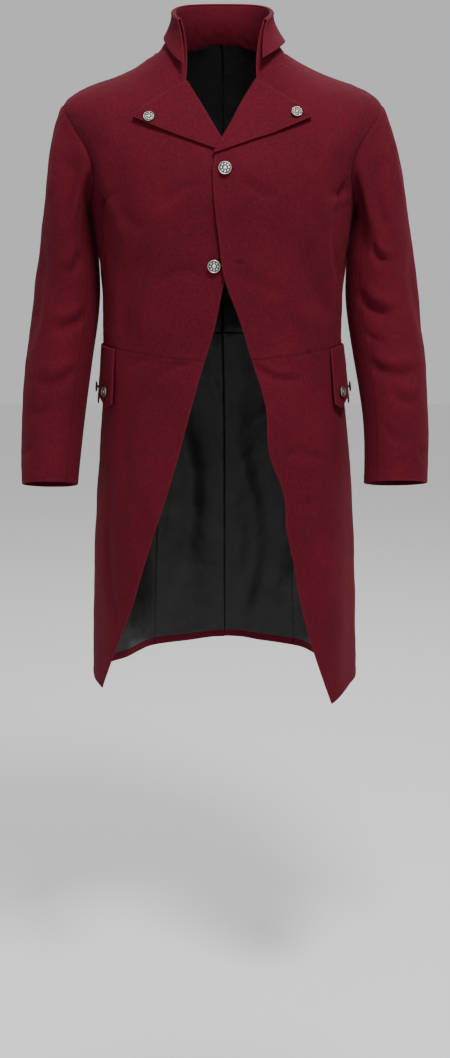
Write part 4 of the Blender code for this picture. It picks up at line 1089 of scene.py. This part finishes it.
def makeSleeve(side):
    # rows run down from the armhole to the cuff; under the arm the cloth lies smoother
    length, headLength = sleeves["length"], sleeves["headLength"]
    metres = length * spacing(length, sleeves["rows"])
    further = (metres - headLength) / (length - headLength)
    down = np.where(metres < headLength, metres / headLength, 1 + further)
    face, name = sleeveFace(side), sideNames[side]
    upper = spacing(sleeves["upperWidth"], sleeves["upperColumns"])
    upper = cornerTurn + (2 * math.pi - 2 * cornerTurn) * upper
    under = cornerTurn * (2 * spacing(sleeves["underWidth"], sleeves["underColumns"]) - 1)
    creases = [(math.radians(a), b, math.radians(c), d, e, f) for a, b, c, d, e, f in sleeveCreases[side]]
    for part, turns in (("upper", upper), ("under", under)):
        turn, depth = np.meshgrid(turns, down)
        place = face(turn, depth)
        outward = -normalsOf(face, turn, depth) * side
        creased = creaseSum(turn % (2 * math.pi), place[..., 2], creases, sleeves["armRadius"])
        relief = crease["gain"] * creased + unevenness(place)
        away = np.abs((turn + math.pi) % (2 * math.pi) - math.pi)
        beside = ease((away - math.radians(sleeves["smoothTo"])) / math.radians(sleeves["smoothFade"]))
        relief = np.minimum(relief, 0) * (0.35 + 0.65 * beside) + np.maximum(relief, 0) * beside
        head = sleeves["fullness"] * hump(depth - sleeves["fullAt"], sleeves["fullHalf"]) * beside
        rise = (relief * ease(depth / 0.16) + head - cloth["thick"] / 2)[..., None]
        coordinates = np.stack([turn * sleeves["armRadius"], place[..., 2]], axis=-1)
        clothWall(f"sleeve_{name}_{part}", place + outward * rise, outward, (1, 0, 1, 1), coordinates,
                  [wool, lining],
                  lined=depth < sleeves["linedTo"])


# Spacing is from one point to the next, as a share of the flap's width
flap = {"frontAngle": -32, "backAngle": 33, "drop": .080, "point": .013, "spacing": .395, "topGap": .0012,
        "standOff": .0050, "thick": .0022, "buttonDrop": .068, "width": .22, "length": .085, "rows": 36,
        "columns": 96}


def flapHeight(down):
    # the inner face stands off the skirt more and more towards the foot
    return cloth["layerGap"] + flap["standOff"] * np.asarray(down) ** 0.7


def flapAngle(across, side):
    angle = np.radians(flap["frontAngle"] + (flap["backAngle"] - flap["frontAngle"]) * across)
    return angle if side > 0 else math.pi - angle


def makeFlap(side):
    # rows run down from the waist seam; the foot is cut to three points
    across = spacing(flap["width"], flap["columns"])
    across, down = np.meshgrid(across, spacing(flap["length"], flap["rows"]))
    angle = flapAngle(across, side)
    point = 1 - np.abs(np.sin(math.pi * (across - 0.5) / flap["spacing"]))
    seamZ = body(angle, np.full(angle.shape, float(waistLevel)))[..., 2]
    level = levelAt(angle, seamZ - flap["topGap"] - (flap["drop"] + flap["point"] * point) * down)
    name = sideNames[side]
    outer, outward = bodyPiece("pocket_flap_" + name, angle, level, flapHeight(down) + flap["thick"],
                               (0, 0, 0, 0), [wool], thick=flap["thick"])
    foot, ends = slice(stitchStep, -stitchStep), slice(3, -stitchStep)
    stitchAlong(outer, outward, "flap_" + name, (ends, stitchStep), (ends, -1 - stitchStep),
                (-1 - stitchStep, foot))


stitch = {"long": .0027, "pitch": .0040, "radius": .00024, "sides": 6, "lean": .0012}


def makeStitches():
    # each stitch is a small spindle laid along its line: its radius goes with the root of 1 - t squared
    lines = {}
    for path, way, name in sewn:
        lines.setdefault(name, []).append((path, way))
    t = np.array([-0.82, -0.35, 0.35, 0.82])
    radius = stitch["radius"] * np.sqrt(1 - t**2)
    sides = stitch["sides"]
    turn = np.arange(sides) * 2 * math.pi / sides
    each = np.arange(sides)
    after = (each + 1) % sides
    quads = np.concatenate([np.stack([k + each, k + after, k + sides + after, k + sides + each], axis=-1)
                            for k in (0, sides, 2 * sides)])
    last, tip = 3 * sides, each * 0 + 4 * sides
    caps = np.concatenate([np.stack([tip, after, each], axis=-1),
                           np.stack([tip + 1, last + each, last + after], axis=-1)])
    for name, paths in lines.items():
        points, faces, count = [], [], 0
        for path, way in paths:
            run = np.concatenate([[0], np.linalg.norm(np.diff(path, axis=0), axis=-1).cumsum()])
            at = np.arange(stitch["pitch"], run[-1] - stitch["pitch"] / 2, stitch["pitch"])

            def along(values, where):
                return np.stack([np.interp(where, run, values[:, i]) for i in range(3)], axis=-1)

            centre, up = along(path, at), unit(along(way, at))
            ahead = unit(along(path, at + stitch["lean"]) - centre)
            across = np.cross(up, ahead)
            spine = centre[:, None] + ahead[:, None] * (t * stitch["long"] / 2)[None, :, None]
            ring = across[:, None] * np.cos(turn)[:, None] + up[:, None] * np.sin(turn)[:, None]
            rings = spine[:, :, None] + ring[:, None] * radius[None, :, None, None]
            tips = (np.array([-0.5, 0.5]) * stitch["long"])[None, :, None]
            ends = centre[:, None] + ahead[:, None] * tips
            block = np.concatenate([rings.reshape(len(at), -1, 3), ends], axis=1)
            base = count + np.arange(len(at))[:, None, None] * block.shape[1]
            faces += (base + quads[None]).reshape(-1, 4).tolist()
            faces += (base + caps[None]).reshape(-1, 3).tolist()
            points.append(block.reshape(-1, 3))
            count += block.shape[0] * block.shape[1]
        points = np.concatenate(points)
        makeMesh("stitching_" + name, None, points, faces, points[:, :2], {}, [thread])


def onCloth(angle, level, height):
    # a place that height above the body's creased surface, and the way outwards
    angle, level = np.atleast_1d(np.asarray(angle, float)), np.atleast_1d(np.asarray(level, float))
    skin, outward = body(angle, level), normalsOf(body, angle, level)
    return (skin + outward * (height + bodyRelief(angle, level, skin))[..., None])[0], outward[0]


# Radii as shares of the button's, heights in metres, from the middle of the face round to the shank's foot.
# Each ring of relief has its number of lobes, the share of the radius where it lies, half width and height.
buttonProfile = {
    "radii": (0, .10, .20, .27, .31, .36, .44, .56, .68, .76, .80, .85, .91, .96, 1, 1, .95, .60, .24, .24,
              .24, 0),
    "heights": (.0050, .0049, .0046, .0042, .0038, .0036, .0036, .0038, .0037, .0035, .0036, .0041, .0043,
                .0040, .0034, .0029, .0022, .0018, .0016, .0008, 0, 0),
    "steps": 64, "turns": 80, "faceEnd": 14, "stand": .0003,
    "petals": (4, 0.56, 0.13, 0.00055), "beads": (20, 0.90, 0.05, 0.00030), "rays": (8, 0.17, 0.08, 0.00018),
    "hollowUnder": 0.0038, "hollowDepth": 0.0006,
}


def turnedButton(node, place, outward, diameter):
    # a profile turned round the shank: its face carries a boss, eight petals, a sunk ring and a beaded rim
    r, made = diameter / 2, buttonProfile
    steps = np.arange(len(made["radii"]))
    fine = np.linspace(0, steps[-1], made["steps"])
    radius = np.interp(fine, steps, r * np.array(made["radii"]))
    height = np.interp(fine, steps, made["heights"])
    kernel = np.array([1, 2, 1]) / 4  # rounds the profile's corners
    radius[1:-1] = np.convolve(radius, kernel, "valid")
    height[1:-1] = np.convolve(height, kernel, "valid")
    turn = np.linspace(0, 2 * math.pi, made["turns"] + 1)[:-1]
    front = (fine < made["faceEnd"])[:, None]
    share = (radius / r)[:, None]
    raised = 0
    for lobes, at, halfWidth, rise in (made["petals"], made["beads"], made["rays"]):
        raised = raised + np.cos(lobes * turn)[None] ** 2 * hump(share - at, halfWidth) * rise
    raised = raised * front
    z = height[:, None] + raised
    sunk = (height[:, None] - made["hollowUnder"]) / made["hollowDepth"]
    hollow = np.clip(1 - raised / made["beads"][3] - sunk, 0, 1) * np.ones(z.shape)
    across = unit(np.cross((0.0, 0.0, 1.0), outward))
    up = np.cross(outward, across)
    x, y = radius[:, None] * np.cos(turn), radius[:, None] * np.sin(turn)
    grid = place + across * x[..., None] + up * y[..., None] + outward * (z + made["stand"])[..., None]
    rows, cols = grid.shape[:2]
    points = np.concatenate([grid[1:-1].reshape(-1, 3), grid[:1, 0], grid[-1:, 0]])
    index = np.arange((rows - 2) * cols).reshape(rows - 2, cols)
    index = np.concatenate([index, index[:, :1]], axis=1)
    top = np.stack([np.full(cols, index.max() + 1), index[0, :-1], index[0, 1:]], axis=-1)
    foot = np.stack([np.full(cols, index.max() + 2), index[-1, 1:], index[-1, :-1]], axis=-1)
    facts = {"hollow": np.concatenate([hollow[1:-1].ravel(), [0.2, 1]])}
    faces = quadsOf(index)[:, [0, 3, 2, 1]].tolist() + top.tolist() + foot.tolist()
    makeMesh("metal_" + node, node, points, faces, points[:, :2], facts, [metal])


buttons = {"front": .0195, "small": .0160, "places": {"button_front_top": (.0035, -.175),
                                                      "button_front_low": (-.0122, -.314)},
           "lapel": {1: (.1065, -.0975), -1: (-.1055, -.1035)}, "lapelShare": 0.7}


def makeButtons():
    for node, (x, z) in buttons["places"].items():
        angle, level = onFront(x, z)
        side = 1 if node == "button_front_top" else -1
        turnedButton(node, *onCloth(angle, level, lift(side, angle, level)), buttons["front"])
    for side, name in sideNames.items():
        angle, level = onFront(*buttons["lapel"][side])
        height = lapel["gap"] + cloth["thick"] + lapel["edgeRise"] * buttons["lapelShare"]
        turnedButton("button_lapel_" + name, *onCloth(angle, level, height), buttons["small"])
        for i, across in enumerate((-flap["spacing"], 0, flap["spacing"]), 1):
            angle = np.array(flapAngle(0.5 + across, side))
            seamZ = body(angle, np.array(float(waistLevel)))[2]
            level = levelAt(angle, seamZ - flap["buttonDrop"])
            height = flapHeight(flap["buttonDrop"] / (flap["drop"] + flap["point"])) + flap["thick"]
            turnedButton(f"button_flap_{name}_{i}", *onCloth(angle, level, height), buttons["small"])


# Seen from the front: x and z of its middle and half its length
buttonholes = {"low": (.0215, -.3060, .0100), "top": (.0065, -.1755, .0085)}
buttonholeEdge = {"stitches": 60, "points": 240, "sides": 8, "spread": .0009, "radius": .00062, "swell": .28,
                  "stand": .0004}


def makeButtonhole(place):
    # a tube of close stitches round a slit, on the left front: its radius pulses once for each stitch
    x, z, half = buttonholes[place]
    count, sides = buttonholeEdge["points"], buttonholeEdge["sides"]
    share = np.linspace(0, 1, count + 1)[:-1]
    reach = (0, .44, .47, .50, .94, .97, 1)
    seenX = x + half * np.interp(share, reach, (-1, 1, 1.03, 1, -1, -1.03, -1))
    seenZ = z + buttonholeEdge["spread"] * np.interp(share, reach, (-1, -1, 0, 1, 1, 0, -1))
    angle, level = onFront(seenX, seenZ)
    skin, outward = body(angle, level), normalsOf(body, angle, level)
    height = lift(1, angle, level) + bodyRelief(angle, level, skin) + buttonholeEdge["stand"]
    line = skin + outward * height[..., None]
    along = unit(np.roll(line, -1, axis=0) - np.roll(line, 1, axis=0))
    across = np.cross(outward, along)
    turn = np.arange(sides) * 2 * math.pi / sides
    pulse = np.cos(share * 2 * math.pi * buttonholeEdge["stitches"])
    radius = buttonholeEdge["radius"] * (1 + buttonholeEdge["swell"] * pulse)
    ring = across[:, None] * np.cos(turn)[None, :, None] + outward[:, None] * np.sin(turn)[None, :, None]
    points = (line[:, None] + ring * radius[:, None, None]).reshape(-1, 3)
    index = np.arange(count * sides).reshape(count, sides)
    index = np.concatenate([index, index[:1]])
    index = np.concatenate([index, index[:, :1]], axis=1)
    makeMesh("buttonhole_" + place, None, points, quadsOf(index).tolist(), points[:, :2], {}, [thread])


for side in (1, -1):
    makeFront(side)
    makeSide(side)
    makeBack(side)
    makeSkirt(side)
    makeLinings(side)
    makeLapel(side)
    makeSleeve(side)
    makeFlap(side)
    print("sewn:", sideNames[side])
makeCollar()
makeButtons()
makeStitches()
for place in buttonholes:
    makeButtonhole(place)
print("collar, buttons and stitches made")
for node, (width, length, area) in flatSizes.items():
    print(f"cut {node}: {width:.3f} x {length:.3f} m, {area:.4f} m2")

studio = {"floorZ": -1.51, "floorHalf": 9.0, "world": (0.98, 0.985, 1.0, 1), "worldStrength": 0.60,
          "lights": {"key": ((0.55, -1.6, 1.85), 0.7, 88), "fill": ((-2.2, -2.9, 0.9), 1.8, 10),
                     "back": ((0.3, 2.4, 2.0), 1.6, 50)},
          "aim": (0, 0, -0.45), "floorShades": ((0.875, 0.875, 0.87, 1), (0.91, 0.91, 0.905, 1))}


def makeFloor():
    # a plain pale sheet, a grid of one quad
    half, z = studio["floorHalf"], studio["floorZ"]
    corners = [(-half, -half, z), (half, -half, z), (half, half, z), (-half, half, z)]
    mesh = bpy.data.meshes.new("floor")
    mesh.from_pydata(corners, [], [(0, 1, 2, 3)])
    floor = bpy.data.objects.new("floor", mesh)
    bpy.context.scene.collection.objects.link(floor)
    finish, w = newFinish("paleFloor")
    shade = w.mixed(w.noise(w.place(), 1.2, 2), *studio["floorShades"])
    w.surface({"Base Color": shade, "Roughness": 0.9})
    mesh.materials.append(finish)


def makeLight():
    world = bpy.data.worlds.new("studio")
    world.use_nodes = True
    sky = world.node_tree.nodes["Background"]
    sky.inputs["Color"].default_value = studio["world"]
    sky.inputs["Strength"].default_value = studio["worldStrength"]
    bpy.context.scene.world = world
    for name, (place, size, power) in studio["lights"].items():
        lamp = bpy.data.lights.new(name, "AREA")
        lamp.shape, lamp.size, lamp.energy = "DISK", size, power
        made = bpy.data.objects.new(name, lamp)
        made.location = place
        made.rotation_euler = (Vector(studio["aim"]) - Vector(place)).to_track_quat("-Z", "Y").to_euler()
        bpy.context.scene.collection.objects.link(made)


def makeCamera():
    # set at chest height, three metres in front, tipped down a little, as the photograph is taken
    view = {"place": (0, -3, -0.205), "tip": 9.87, "lens": 36 * 1948 / 1058, "shift": 2.5 / 1058}
    camera = bpy.data.cameras.new("camera")
    camera.sensor_fit, camera.sensor_height, camera.lens = "VERTICAL", 36, view["lens"]
    camera.shift_x = view["shift"]
    made = bpy.data.objects.new("camera", camera)
    made.location = view["place"]
    made.rotation_euler = (math.radians(90 - view["tip"]), 0, 0)
    bpy.context.scene.collection.objects.link(made)
    bpy.context.scene.camera = made


makeFloor()
makeLight()
makeCamera()
print("floor, lights and camera set")
